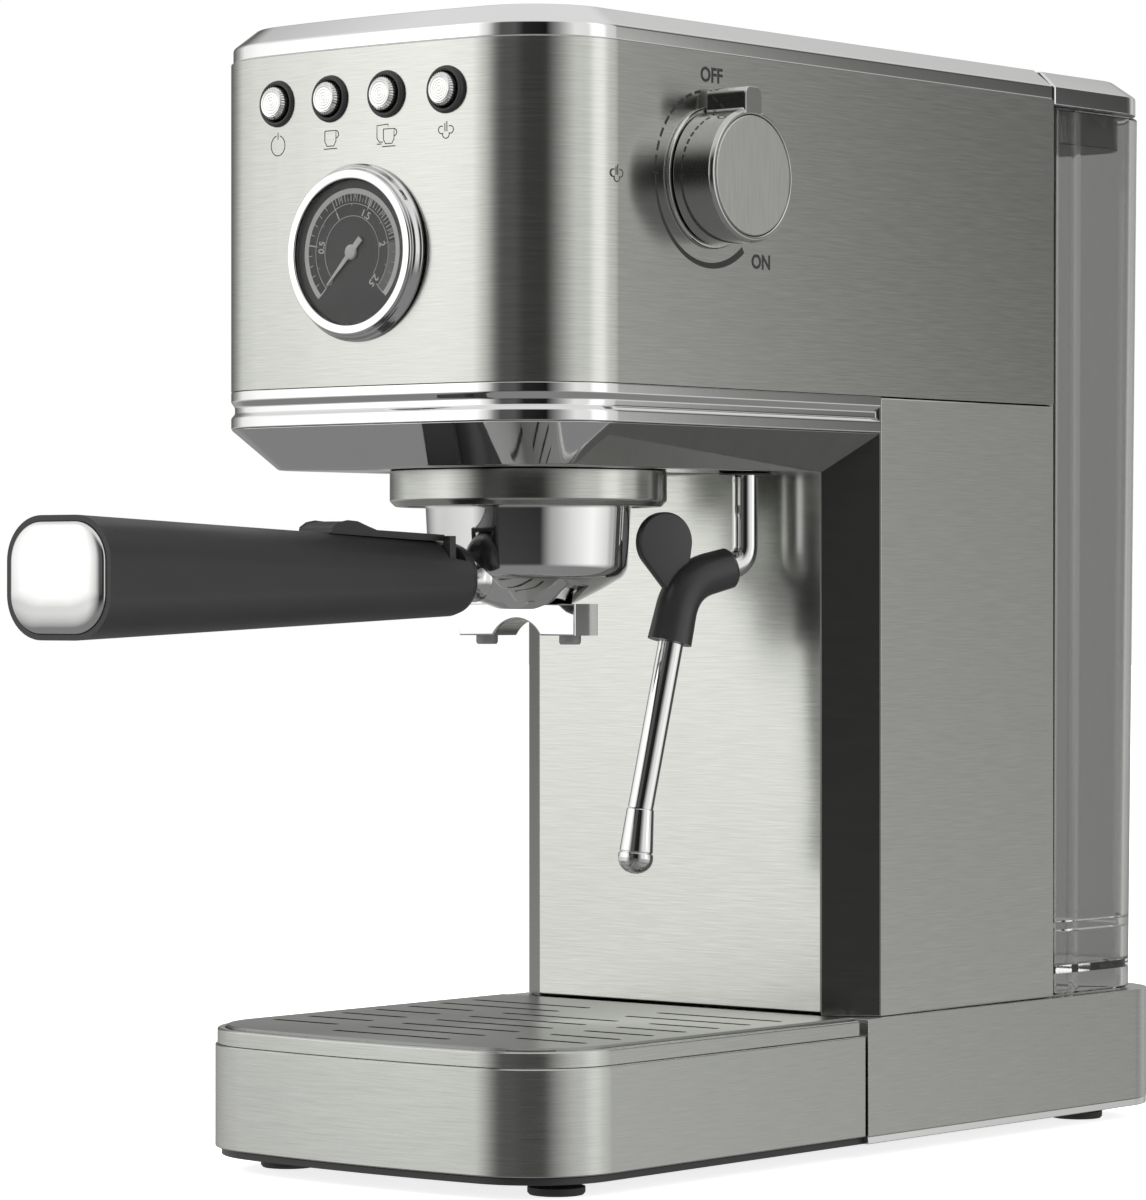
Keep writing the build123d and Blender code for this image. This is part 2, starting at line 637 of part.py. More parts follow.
def drip_tray():
    """Tray body that slides out forwards: a deep tub with one dividing rib."""
    tub = slab(tray_plan(), PANEL_LOW, FRAME_LOW) - slab(tray_plan(2.2, 2.2), PANEL_LOW + 2.0, 60)
    tub += block(-BASE_HALF_W + 2, BASE_HALF_W - 2, 88, 89.6, PANEL_LOW + 1, 24)
    return tub


def tray_frame():
    """Raised rim that holds the grille."""
    rim = slab(tray_plan(0.55, 2.2), FRAME_LOW + 0.1, BASE_TOP - 0.5)
    rim += blend(tray_plan(0.55, 2.2), BASE_TOP - 0.5, tray_plan(0.95, 2.6), BASE_TOP - 0.1)
    rim -= slab(tray_plan(5.0, 8.0), 0, 60)
    return rim - slab(tray_plan(2.6, 2.2), BASE_TOP - 1.8, 60)


GRILLE_INSET = 2.9
ROW_PITCH = 13.7
FIRST_ROW_Y = 12.9


def grille_slots():
    """Staggered slots: one in front, rows of three, then rows of two longer ones."""
    slots = [(0, FIRST_ROW_Y, 41.0)]
    for row in range(1, 6):
        y = FIRST_ROW_Y + ROW_PITCH * row
        slots += [(-43.1, y, 23.5), (0, y, 41.0), (43.1, y, 23.5)]
    for row in (6, 7):
        y = FIRST_ROW_Y + ROW_PITCH * row
        slots += [(-33.4, y, 43.0), (33.4, y, 43.0)]
    return slots


def drip_grille():
    plate = slab(tray_plan(GRILLE_INSET, 3.4), BASE_TOP - 1.5, GRILLE_TOP - 0.5)
    plate += blend(tray_plan(GRILLE_INSET, 3.4), GRILLE_TOP - 0.5,
                   tray_plan(GRILLE_INSET + 0.5, 3.9), GRILLE_TOP)
    for x, y, length in grille_slots():
        plate -= Pos(x, y, GRILLE_TOP) * extrude(SlotOverall(length, 2.4), amount=5, both=True)
    return plate


# ---------------------------------------------------------------- water tank and lid
def tank_plan(half_w, rear_y, inset=0.0):
    outline = Pos(0, (TANK_FRONT_Y + rear_y) / 2) * Rectangle(2 * (half_w - inset),
                                                            rear_y - TANK_FRONT_Y - 2 * inset)
    rear = outline.vertices().sort_by(Axis.Y)[-2:]
    outline = fillet(rear, 18.0 - inset)
    front = outline.vertices().sort_by(Axis.Y)[:2]
    return fillet(front, 3.0 if inset == 0 else 1.2)


TANK_TOP = 293.5
TANK_LOW = BASE_TOP + 0.4
TANK_FLOOR = 46.8
TANK_WALL = 2.2
LUG_X = 51.0                # the lid's two hinge lugs


def water_tank():
    body = blend(tank_plan(61.9, 279.4), TANK_LOW, tank_plan(62.9, TANK_REAR_Y - 0.4), TANK_TOP)
    body -= blend(tank_plan(61.9, 279.4, TANK_WALL), TANK_FLOOR,
                  tank_plan(62.9, TANK_REAR_Y - 0.4, TANK_WALL), TANK_TOP + 0.5)
    body -= slab(tank_plan(61.9, 279.4, TANK_WALL), 0, TANK_FLOOR - TANK_WALL)
    body += block(-60.5, 60.5, TANK_FRONT_Y + 1.5, TANK_FRONT_Y + 4.0, 57.2, 59.4)
    body -= rod_z(0, DOCK_Y, 8.1, 30, 60)
    for side in (-1, 1):
        body += block(side * 40 - 1, side * 40 + 1, TANK_FRONT_Y + 1.5, TANK_FRONT_Y + 5.0, 46, 280)
        lug = block(side * LUG_X - 2, side * LUG_X + 2, TANK_FRONT_Y + 0.2, LID_AXIS_Y + 2.2, 292, LID_AXIS_Z)
        lug += rod_x(LID_AXIS_Y, LID_AXIS_Z, 2.2, side * LUG_X - 2, side * LUG_X + 2)
        body += lug - rod_x(LID_AXIS_Y, LID_AXIS_Z, 1.25, side * LUG_X - 3, side * LUG_X + 3)
    return body


def tank_valve():
    """Spring valve and filter cup in the tank floor."""
    valve = turned([(0, 41.2), (5.0, 41.2), (5.0, 43.2), (8.05, 43.2), (8.05, 47.0), (11.0, 47.0),
                    (11.0, 49.0), (7.0, 50.0), (7.0, 60.0), (0, 60.0)])
    return Pos(0, DOCK_Y, 0) * valve


def tank_dock():
    """Socket in the base that the tank's valve sits over."""
    dock = turned([(0, 26.0), (12.0, 26.0), (12.0, 38.5), (10.4, 38.5), (10.4, 29.0), (3.4, 29.0),
                   (3.4, 40.8), (0, 40.8)])
    return Pos(0, DOCK_Y, 0) * dock


def lid_plan(inset=0.0):
    outline = Pos(0, (TANK_FRONT_Y + 282.4) / 2) * Rectangle(2 * (62.5 - inset),
                                                          282.4 - TANK_FRONT_Y - inset)
    outline = Pos(0, -inset / 2) * outline
    return fillet(outline.vertices().sort_by(Axis.Y)[-2:], 18.0 - inset)


def tank_lid():
    """Bright-edged lid that continues the head's top line, with a dished finger recess."""
    lid = slab(lid_plan(), 294.4, BAND_TOP)
    lid += blend(lid_plan(), BAND_TOP, lid_plan(BEVEL_INSET), TOP_Z)
    lid -= block(-70, 70, TANK_FRONT_Y - 1, TANK_FRONT_Y + 1.5, TOP_Z - 1.5, TOP_Z + 1)
    plug = slab(Pos(0, (236.0 + 276.0) / 2) * RectangleRounded(112, 40, 12), 284.0, 296.0)
    lid += plug
    dish = slab(Pos(0, (239.0 + 272.0) / 2) * RectangleRounded(104, 33, 9), 286.0, 310.0)
    lid -= dish
    for side in (-1, 1):
        lid -= block(side * LUG_X - 2.5, side * LUG_X + 2.5, TANK_FRONT_Y - 1, LID_AXIS_Y + 2.7, 290, 310)
        lid += rod_x(LID_AXIS_Y, LID_AXIS_Z, 1.2, side * LUG_X - 3, side * LUG_X + 3)
    return lid


# ---------------------------------------------------------------- inner works
def thermoblock():
    """Cast heating block with fins along its sides."""
    body = block(-40, 24, 112, 168, 224, 258)
    body = fillet(body.edges().filter_by(Axis.Z), 5.0)
    for k in range(6):
        z = 227 + 5 * k
        body -= block(-41, 25, 111, 114, z, z + 2.5) + block(-41, 25, 166, 169, z, z + 2.5)
    return body


def thermostats():
    disc = turned([(0, 0), (7, 0), (7, 6), (5, 9), (0, 9)])
    return Compound(children=[Pos(x, 140, 258.1) * disc for x in (-24, 6)])


def vibration_pump():
    """Solenoid pump lying across the column, brass outlet to the front."""
    coil = block(-20, 20, 150, 196, 74, 116)
    coil = fillet(coil.edges().filter_by(Axis.Y), 4.0)
    return coil + rod_y(0, 95, 9.0, 140, 214) + rod_z(0, 147, 4.0, 95, 108)


def pump_mounts():
    """Two rubber cradles under the pump."""
    cradle = block(-26, 26, 0, 8, 40, 73.9) - block(-14, 14, -1, 9, 36, 62)
    return Compound(children=[Pos(0, y, 0) * cradle for y in (154, 184)])


def pressure_hose():
    """From the pump's outlet up to the heating block."""
    return tube([(0, 147, 108.1), (0, 147, 150), (10, 158, 185), (10, 158, 223.9)], 2.5, 14.0)


def intake_hose():
    """From the tank's socket forwards and up to the pump's inlet."""
    return tube([(0, DOCK_Y - 12.1, 32), (0, 220.0, 32), (0, 220.0, 95), (0, 214.1, 95)],
                3.0, [12.0, 5.5])


def hot_water_pipes():
    """One pipe from the heating block to the brew group, one from the steam valve to the wand."""
    brew = tube([(0, 111.9, 240), (0, GROUP_Y, 240), (0, GROUP_Y, 214.1)], 2.5, 9.0)
    steam = tube([(33, KNOB_Y, KNOB_Z - 18.1), (33, KNOB_Y, 218), (WAND_X, WAND_Y, 218),
                  (WAND_X, WAND_Y, 200)], 2.5, 8.0)
    return Compound(children=[brew, steam])


def steam_valve():
    """Brass valve in line with the knob; its lower outlet feeds the wand."""
    body = rod_x(KNOB_Y, KNOB_Z, 9.0, 20.0, 49.6)
    body += block(24, 42, KNOB_Y - 8, KNOB_Y + 8, KNOB_Z - 18, KNOB_Z)
    return body


PIECES = {
    "base_plate": base_plate, "rubber_feet": rubber_feet, "foot_screws": foot_screws,
    "base_shell": base_shell, "base_rear_strip": base_rear_strip, "cord_gland": cord_gland,
    "column_side_left": lambda: column_side(-1), "column_side_right": lambda: column_side(1),
    "column_front_plate": column_front_plate, "column_corner_strips": column_corner_strips,
    "rear_panel": rear_panel, "head_shell": head_shell, "head_lower_trim": head_lower_trim,
    "head_skirt": head_skirt, "top_trim": top_trim, "top_deck": top_deck,
    "group_head": group_head, "group_gasket": group_gasket, "shower_screen": shower_screen,
    "group_collar": group_collar, "portafilter_body": portafilter_body,
    "filter_basket": filter_basket, "portafilter_spout": portafilter_spout,
    "spout_nozzles": spout_nozzles, "handle_grip": handle_grip, "handle_end_cap": handle_end_cap,
    "basket_clip": basket_clip, "button_bezels": button_bezels,
    "button_power": lambda: button(BUTTON_X[0]), "button_one_cup": lambda: button(BUTTON_X[1]),
    "button_two_cups": lambda: button(BUTTON_X[2]), "button_steam": lambda: button(BUTTON_X[3]),
    "control_board": control_board, "gauge_bezel": gauge_bezel, "gauge_case": gauge_case,
    "gauge_dial": gauge_dial, "gauge_lens": gauge_lens, "gauge_needle": gauge_needle,
    "knob_base_ring": knob_base_ring, "steam_knob": steam_knob, "steam_knob_face": steam_knob_face,
    "steam_pipe": steam_pipe, "wand_sleeve": wand_sleeve, "wand_tip": wand_tip,
    "wand_bush": wand_bush, "drip_tray": drip_tray, "tray_frame": tray_frame,
    "drip_grille": drip_grille, "water_tank": water_tank, "tank_valve": tank_valve,
    "tank_dock": tank_dock, "tank_lid": tank_lid, "thermoblock": thermoblock,
    "thermostats": thermostats, "vibration_pump": vibration_pump, "pump_mounts": pump_mounts,
    "pressure_hose": pressure_hose, "intake_hose": intake_hose, "hot_water_pipes": hot_water_pipes,
    "steam_valve": steam_valve,
}

for piece_name, make in PIECES.items():
    save(make(), piece_name)
print(len(PIECES), "pieces; shift", round(SHIFT_X, 3), round(SHIFT_Y, 3))
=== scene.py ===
# %% [markdown]
# # A slim espresso machine, dressed around its CAD frame
# The machine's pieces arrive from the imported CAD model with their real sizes, places and joints.
# This notebook gives them their looks: brushed steel, chrome, matte plastic, a smoked tank and the
# small printed marks. Pieces that need finer form than CAD gives are rebuilt here and replace
# their plain twins.

# %% Load the fixed frame
import json
import math
import bmesh
import bpy
from mathutils import Matrix, Vector

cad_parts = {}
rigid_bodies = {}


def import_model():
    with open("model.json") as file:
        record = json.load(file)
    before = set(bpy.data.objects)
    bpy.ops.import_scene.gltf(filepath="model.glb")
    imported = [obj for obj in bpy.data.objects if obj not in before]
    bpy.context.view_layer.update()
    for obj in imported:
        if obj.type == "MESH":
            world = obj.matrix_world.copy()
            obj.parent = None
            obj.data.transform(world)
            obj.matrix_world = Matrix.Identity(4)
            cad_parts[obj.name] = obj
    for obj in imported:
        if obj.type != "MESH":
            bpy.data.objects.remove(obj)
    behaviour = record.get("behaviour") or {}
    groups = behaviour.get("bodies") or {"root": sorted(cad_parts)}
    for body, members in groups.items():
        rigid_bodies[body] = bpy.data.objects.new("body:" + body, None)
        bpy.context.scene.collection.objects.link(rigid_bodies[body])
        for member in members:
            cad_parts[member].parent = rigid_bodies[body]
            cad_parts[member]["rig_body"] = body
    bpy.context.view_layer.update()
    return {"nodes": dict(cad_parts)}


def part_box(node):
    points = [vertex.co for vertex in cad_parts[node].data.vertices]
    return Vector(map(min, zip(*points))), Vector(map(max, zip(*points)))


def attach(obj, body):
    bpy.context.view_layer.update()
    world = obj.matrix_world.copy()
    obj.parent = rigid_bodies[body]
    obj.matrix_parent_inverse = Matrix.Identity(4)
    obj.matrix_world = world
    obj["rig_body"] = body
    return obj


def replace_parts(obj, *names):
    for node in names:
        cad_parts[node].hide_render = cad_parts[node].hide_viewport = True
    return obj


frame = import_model()
nodes = frame["nodes"]
print("CAD pieces:", len(nodes))

# %% [markdown]
# ## One place for positions
# The machine's own zero is the front of the head on the middle plane. Reading it from the head
# wrap's box keeps every later position tied to the frame, so nothing is fitted by eye. Sizes are
# written in millimetres, as on a drawing, and turned into metres at the last moment.

# %% Machine coordinates in millimetres
MM = 0.001
head_low, head_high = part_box("head_shell")
MID_X = (head_low.x + head_high.x) / 2
FRONT_Y = head_low.y


def at(x, y, z):
    """A point given in millimetres from the head's front on the middle plane."""
    return Vector((MID_X + x * MM, FRONT_Y + y * MM, z * MM))


def facing(spot, out, up=(0, 0, 1)):
    """A place whose local Z points out and local Y points up, with millimetres inside."""
    z_axis = Vector(out).normalized()
    x_axis = Vector(up).cross(z_axis).normalized()
    turn = Matrix((x_axis, z_axis.cross(x_axis), z_axis)).transposed()
    return Matrix.Translation(at(*spot)) @ turn.to_4x4() @ Matrix.Scale(MM, 4)


print("middle x", round(MID_X, 4), "front y", round(FRONT_Y, 4))

# %% [markdown]
# ## Camera
# A long lens far away keeps the upright edges parallel. The camera looks level, a little above
# half the machine's height, from the front right corner.

# %% Place the camera
camera_data = bpy.data.cameras.new("camera")
camera_data.lens = 146.0
camera_data.sensor_width = 36.0
camera_data.shift_y = -0.0067
camera_data.clip_start = 0.05
camera_data.clip_end = 40
camera = bpy.data.objects.new("camera", camera_data)
camera.location = at(850.5, -932.7, 154.5)
camera.rotation_euler = (math.radians(90), 0, math.radians(39.83))
bpy.context.scene.collection.objects.link(camera)
bpy.context.scene.camera = camera
bpy.context.scene.view_settings.view_transform = "Standard"
print("camera at", [round(v, 3) for v in camera.location])

# %% [markdown]
# ## Studio
# Polished and brushed metal show the room more than themselves. The room is a white surround with
# darker and brighter upright bands, as made by soft boxes and black cards standing round a
# tabletop. The bands are set by compass direction, so any camera sees the same room. Close to the
# table the bands are softer, straight down it is a middle grey, and high up it is a pale ceiling.


# %% Node helpers that every shader tree uses
def add_node(tree, kind, inputs=None, **settings):
    node = tree.nodes.new(kind)
    for key, value in settings.items():
        setattr(node, key, value)
    for key, value in (inputs or {}).items():
        node.inputs[key].default_value = value
    return node


def grey_ramp(tree, source, stops):
    """A ramp of greys, given as (position, brightness) pairs, read at source."""
    node = add_node(tree, "ShaderNodeValToRGB")
    ramp = node.color_ramp
    ramp.elements.remove(ramp.elements[-1])
    for k, (position, grey) in enumerate(stops):
        element = ramp.elements[0] if k == 0 else ramp.elements.new(position)
        element.position = position
        element.color = (grey, grey, grey * 0.98, 1)
    tree.links.new(source, node.inputs[0])
    return node.outputs[0]


def mixed(tree, share, first, second):
    """Colour between two sources; a source is an output or a grey value."""
    mix = add_node(tree, "ShaderNodeMixRGB")
    tree.links.new(share, mix.inputs[0])
    for slot, source in ((1, first), (2, second)):
        if isinstance(source, (int, float)):
            mix.inputs[slot].default_value = (source, source, source, 1)
        else:
            tree.links.new(source, mix.inputs[slot])
    return mix.outputs[0]


# %% The surround, banded by compass direction
# Degrees from straight in front of the machine towards its right side, and brightness.
EYE_BANDS = [
    (-180, 0.5), (-150, 0.42), (-138, 0.40), (-127, 0.15), (-115, 0.15), (-98, 0.40), (-82, 0.95),
    (-54, 1.15), (-45, 1.4), (-32, 1.55), (-22, 1.08), (-12, 0.75), (-4, 0.26), (3, 0.09),
    (18, 0.10), (28, 0.02), (52, 0.01), (66, 0.32), (84, 0.88), (100, 0.85), (107, 1.35),
    (118, 1.40), (125, 0.80), (138, 0.68), (140.5, 0.48), (142.5, 0.20), (147, 0.06), (160, 0.12),
    (172, 0.6), (180, 0.6)]
TABLE_BANDS = [
    (-180, 0.5), (-152, 0.28), (-130, 0.26), (-100, 0.6), (-60, 0.72), (-25, 0.86), (-10, 0.35),
    (2, 0.04), (54, 0.02), (66, 0.42), (90, 0.80), (118, 1.1), (130, 0.95), (142, 0.78),
    (148, 0.5), (180, 0.6)]
# Shares from straight down (0) to straight up (1), and how much of each layer is seen there.
NEAR_TABLE = [(0.0, 1), (0.465, 1), (0.505, 0), (1.0, 0)]
STRAIGHT_DOWN = [(0.0, 1), (0.30, 1), (0.44, 0), (1.0, 0)]
CEILING = [(0.0, 0), (0.70, 0), (0.86, 1), (1.0, 1)]
TABLE_GREY, CEILING_GREY = 0.24, 0.80

world = bpy.data.worlds.new("studio")
bpy.context.scene.world = world
world.use_nodes = True
sky = world.node_tree
sky.nodes.clear()

coords = add_node(sky, "ShaderNodeTexCoord")
split = add_node(sky, "ShaderNodeSeparateXYZ")
sky.links.new(coords.outputs["Generated"], split.inputs[0])
forward = add_node(sky, "ShaderNodeMath", {1: -1.0}, operation="MULTIPLY")
sky.links.new(split.outputs["Y"], forward.inputs[0])
angle = add_node(sky, "ShaderNodeMath", operation="ARCTAN2")
sky.links.new(split.outputs["X"], angle.inputs[0])
sky.links.new(forward.outputs[0], angle.inputs[1])
compass = add_node(sky, "ShaderNodeMath", {1: 1 / (2 * math.pi), 2: 0.5}, operation="MULTIPLY_ADD")
sky.links.new(angle.outputs[0], compass.inputs[0])
height = add_node(sky, "ShaderNodeMath", {1: 0.5, 2: 0.5}, operation="MULTIPLY_ADD")
sky.links.new(split.outputs["Z"], height.inputs[0])


def compass_bands(bands):
    """Bands round the compass; the ramp starts and ends straight behind the machine."""
    return grey_ramp(sky, compass.outputs[0], [((deg + 180) / 360, grey) for deg, grey in bands])


near_table = grey_ramp(sky, height.outputs[0], NEAR_TABLE)
straight_down = grey_ramp(sky, height.outputs[0], STRAIGHT_DOWN)
ceiling = grey_ramp(sky, height.outputs[0], CEILING)
room = mixed(sky, near_table, compass_bands(EYE_BANDS), compass_bands(TABLE_BANDS))
room = mixed(sky, straight_down, room, TABLE_GREY)
room = mixed(sky, ceiling, room, CEILING_GREY)

rays = add_node(sky, "ShaderNodeLightPath")
plain = add_node(sky, "ShaderNodeBackground", {0: (1, 1, 1, 1)})
banded = add_node(sky, "ShaderNodeBackground")
pick = add_node(sky, "ShaderNodeMixShader")
studio_out = add_node(sky, "ShaderNodeOutputWorld")
sky.links.new(room, banded.inputs[0])
sky.links.new(rays.outputs["Is Glossy Ray"], pick.inputs[0])
sky.links.new(plain.outputs[0], pick.inputs[1])
sky.links.new(banded.outputs[0], pick.inputs[2])
sky.links.new(pick.outputs[0], studio_out.inputs[0])
print("surround bands:", len(EYE_BANDS), "and", len(TABLE_BANDS))


# %% Soft lights
def soft_light(name, spot, size, watts):
    """A square soft box that looks at the machine's middle."""
    light = bpy.data.lights.new(name, "AREA")
    light.shape = "RECTANGLE"
    light.size, light.size_y = size
    light.energy = watts
    lamp = bpy.data.objects.new(name, light)
    lamp.location = at(*spot)
    lamp.rotation_euler = (at(0, 80, 150) - lamp.location).to_track_quat("-Z", "Y").to_euler()
    bpy.context.scene.collection.objects.link(lamp)
    lamp.visible_glossy = False


soft_light("key_light", (-900, -900, 1300), (0.9, 0.9), 9)
soft_light("side_light", (1300, 100, 700), (0.7, 0.9), 4)
print("soft lights: 2")


# %% The pale floor
def make_material(name):
    """A new node material: the material, its tree and its main shader."""
    made = bpy.data.materials.new(name)
    made.use_nodes = True
    return made, made.node_tree, made.node_tree.nodes["Principled BSDF"]


floor_material, _, floor_shader = make_material("pale_floor")
floor_shader.inputs["Base Color"].default_value = (0.93, 0.93, 0.93, 1)
floor_shader.inputs["Roughness"].default_value = 0.9
floor_shader.inputs["Specular IOR Level"].default_value = 0.1
floor_shader.inputs["Emission Color"].default_value = (1, 1, 1, 1)
floor_shader.inputs["Emission Strength"].default_value = 0.80
bpy.ops.mesh.primitive_circle_add(vertices=96, radius=9, fill_type="NGON", location=(0, 0, 0))
floor = bpy.context.object
floor.name = "floor"
floor.visible_glossy = False
floor.visible_transmission = False
floor.data.materials.append(floor_material)
print("floor ready")

# %% [markdown]
# ## Finishes
# Every finish is procedural. Brushed steel is one long thin noise: it is stretched along the
# direction of brushing and squeezed across it, and drives colour, roughness and a very shallow
# bump together, so a scratch is seen by all three. Brushing also spreads highlights across the
# scratches, which is what the shader's anisotropy does.


# %% Noise, ranges and bumps
def stretched_noise(tree, scale, detail=4.0, rough=0.6):
    """Noise in metres of the frame, scaled separately along each axis."""
    where = add_node(tree, "ShaderNodeTexCoord")
    fit = add_node(tree, "ShaderNodeMapping", {"Scale": scale})
    noise = add_node(tree, "ShaderNodeTexNoise", {"Scale": 1.0, "Detail": detail, "Roughness": rough})
    tree.links.new(where.outputs["Object"], fit.inputs[0])
    tree.links.new(fit.outputs[0], noise.inputs[0])
    return noise.outputs[0]


def ranged(tree, source, low, high):
    """Map the middle of a noise onto a range of values."""
    span = add_node(tree, "ShaderNodeMapRange", {1: 0.25, 2: 0.75, 3: low, 4: high})
    tree.links.new(source, span.inputs[0])
    return span.outputs[0]


def tint(tree, source, dark, light):
    """Colour between two tones by a noise."""
    mix = add_node(tree, "ShaderNodeMixRGB")
    mix.inputs[1].default_value = (*dark, 1)
    mix.inputs[2].default_value = (*light, 1)
    tree.links.new(source, mix.inputs[0])
    return mix.outputs[0]


def bumped(tree, shader, source, strength, distance):
    bump = add_node(tree, "ShaderNodeBump", {"Strength": strength, "Distance": distance})
    tree.links.new(source, bump.inputs["Height"])
    tree.links.new(bump.outputs[0], shader.inputs["Normal"])


# %% Brushed steel in several tones and directions
GRAIN = {"x": (95, 3600, 3600), "z": (3600, 3600, 95), "around": (85, 85, 3600)}


def brushed_steel(name, tone, roughness, grain="around", depth=0.02, spread=0.11, anisotropy=0.75):
    material, tree, shader = make_material(name)
    fine = stretched_noise(tree, GRAIN[grain])
    dark = tuple(c * (1 - spread) for c in tone)
    light = tuple(min(1, c * (1 + spread)) for c in tone)
    tree.links.new(tint(tree, ranged(tree, fine, 0, 1), dark, light), shader.inputs["Base Color"])
    tree.links.new(ranged(tree, fine, roughness - 0.01, roughness + 0.02), shader.inputs["Roughness"])
    shader.inputs["Metallic"].default_value = 1.0
    shader.inputs["Anisotropic"].default_value = anisotropy
    shader.inputs["Anisotropic Rotation"].default_value = 0.25
    bumped(tree, shader, fine, depth, 0.00002)
    return material


steel_wrap = brushed_steel("brushed_wrap", (0.62, 0.63, 0.60), 0.23)
steel_side = brushed_steel("brushed_side", (0.66, 0.67, 0.64), 0.33)
steel_base = brushed_steel("brushed_base", (0.60, 0.61, 0.585), 0.26)
steel_plate = brushed_steel("brushed_plate", (0.66, 0.67, 0.64), 0.22)
steel_top = brushed_steel("brushed_top", (0.38, 0.385, 0.37), 0.34, "x")
steel_dark = brushed_steel("brushed_dark", (0.34, 0.345, 0.33), 0.24)
steel_disc = brushed_steel("brushed_disc", (0.60, 0.61, 0.58), 0.36, "z", anisotropy=0.0)
steel_collar = brushed_steel("brushed_collar", (0.60, 0.61, 0.58), 0.22)
turned_brass = brushed_steel("turned_brass", (0.62, 0.46, 0.20), 0.28, "x")
print("brushed finishes: 9")


# %% Chrome and plain steel
def chrome(name, tone, roughness=0.04):
    """Plating: nearly a mirror, with the faint haze and waviness of a polished pressing."""
    material, tree, shader = make_material(name)
    haze = stretched_noise(tree, (90, 90, 90), 5.0)
    tree.links.new(ranged(tree, haze, roughness * 0.7, roughness * 1.5), shader.inputs["Roughness"])
    dark = tuple(c * 0.97 for c in tone)
    tree.links.new(tint(tree, haze, dark, tone), shader.inputs["Base Color"])
    shader.inputs["Metallic"].default_value = 1.0
    bumped(tree, shader, haze, 0.03, 0.0002)
    return material


chrome_bright = chrome("bright_chrome", (0.86, 0.86, 0.86))
# The knob's chrome is toned darker than the bright chrome: a painted dark reflection, standing in for
# the dark reflection on the knob's side.
chrome_knob_painted_dark = chrome("knob_chrome_painted_dark", (0.62, 0.62, 0.61), 0.07)
chrome_satin = chrome("satin_chrome", (0.72, 0.72, 0.70), 0.22)
chrome_button = chrome("button_chrome", (0.93, 0.93, 0.92), 0.16)
print("chrome finishes: 4")


# %% Moulded plastics and rubber
def moulded(name, tone, roughness, texture=2600, depth=0.35, distance=0.00004):
    """Moulded plastic: a fine spark-eroded texture and slight gloss changes."""
    material, tree, shader = make_material(name)
    fine = stretched_noise(tree, (texture, texture, texture), 2.0)
    slow = stretched_noise(tree, (30, 30, 30), 3.0)
    light = tuple(c * 1.25 + 0.003 for c in tone)
    tree.links.new(tint(tree, slow, tone, light), shader.inputs["Base Color"])
    tree.links.new(ranged(tree, slow, roughness - 0.05, roughness + 0.05), shader.inputs["Roughness"])
    bumped(tree, shader, fine, depth, distance)
    return material


black_grip = moulded("black_grip", (0.016, 0.016, 0.017), 0.40)
black_plastic = moulded("black_plastic", (0.014, 0.014, 0.015), 0.38)
black_silicone = moulded("black_silicone", (0.018, 0.018, 0.019), 0.33, 1500, 0.2)
black_rubber = moulded("black_rubber", (0.018, 0.018, 0.018), 0.6, 1200, 0.5)
grey_plastic = moulded("grey_plastic", (0.20, 0.20, 0.21), 0.4)
white_plastic = moulded("white_plastic", (0.62, 0.62, 0.60), 0.4)
dial_black = moulded("dial_black", (0.035, 0.035, 0.035), 0.5, 3000, 0.1)
dial_grey = moulded("dial_grey", (0.16, 0.16, 0.16), 0.5, 3000, 0.1)
print_silver = moulded("print_silver", (0.60, 0.60, 0.58), 0.5, 3000, 0.1)
print_dark = moulded("print_dark", (0.02, 0.02, 0.02), 0.8, 3000, 0.1)
smoky_grey = moulded("smoky_grey", (0.17, 0.17, 0.17), 0.25, 900, 0.05)
nozzle_grey = moulded("nozzle_grey", (0.10, 0.10, 0.10), 0.4)
green_board = moulded("green_board", (0.02, 0.14, 0.06), 0.35, 900, 0.5)
cast_alloy = moulded("cast_alloy", (0.42, 0.42, 0.41), 0.5, 900, 0.6)
print("moulded finishes: 14")


# %% Smoked clear plastic and the gauge's lens
def clear(name, tone, roughness, index):
    """Clear moulding: light is tinted each time that it crosses a wall."""
    material, tree, shader = make_material(name)
    slow = stretched_noise(tree, (14, 14, 14), 2.0)
    tree.links.new(ranged(tree, slow, roughness * 0.6, roughness * 1.6), shader.inputs["Roughness"])
    light = tuple(min(1, c * 1.06) for c in tone)
    tree.links.new(tint(tree, slow, tone, light), shader.inputs["Base Color"])
    shader.inputs["Transmission Weight"].default_value = 1.0
    shader.inputs["IOR"].default_value = index
    bumped(tree, shader, slow, 0.05, 0.0004)
    return material


smoked = clear("smoked_plastic", (0.71, 0.71, 0.705), 0.03, 1.45)
lens_glass = clear("lens_glass", (0.97, 0.97, 0.97), 0.01, 1.2)
print("clear finishes: 2")

# %% [markdown]
# ## Finer copies of the CAD pieces
# No cut or pressed edge is perfectly sharp: a rolled edge a third of a millimetre wide catches a
# thin bright line, and that line is most of what makes metal look real. The CAD meshes themselves
# stay as they are. Each visible casing gets a copy: triangles are first dissolved into whole faces,
# then a bevel rolls the edges, and weighted normals keep the big faces flat.


# %% From raw geometry to a piece that rides
SHARP_FROM = 28


def settle(mesh, name, finish, twin, crease=35):
    """Make a mesh a piece that rides with its CAD twin."""
    for polygon in mesh.polygons:
        polygon.use_smooth = True
    mesh.set_sharp_from_angle(angle=math.radians(crease))
    mesh.materials.append(finish)
    piece = bpy.data.objects.new(name, mesh)
    bpy.context.scene.collection.objects.link(piece)
    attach(piece, nodes[twin]["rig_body"])
    return piece


def mesh_of(bm, name):
    """Close a bmesh into a mesh with outward normals."""
    mesh = bpy.data.meshes.new(name)
    bmesh.ops.recalc_face_normals(bm, faces=bm.faces)
    bm.to_mesh(mesh)
    bm.free()
    return mesh


def flattened(piece):
    """Let big faces keep their own normal and give the bend to the narrow ones."""
    weigh = piece.modifiers.new("flat_faces", "WEIGHTED_NORMAL")
    weigh.keep_sharp = True
    return piece


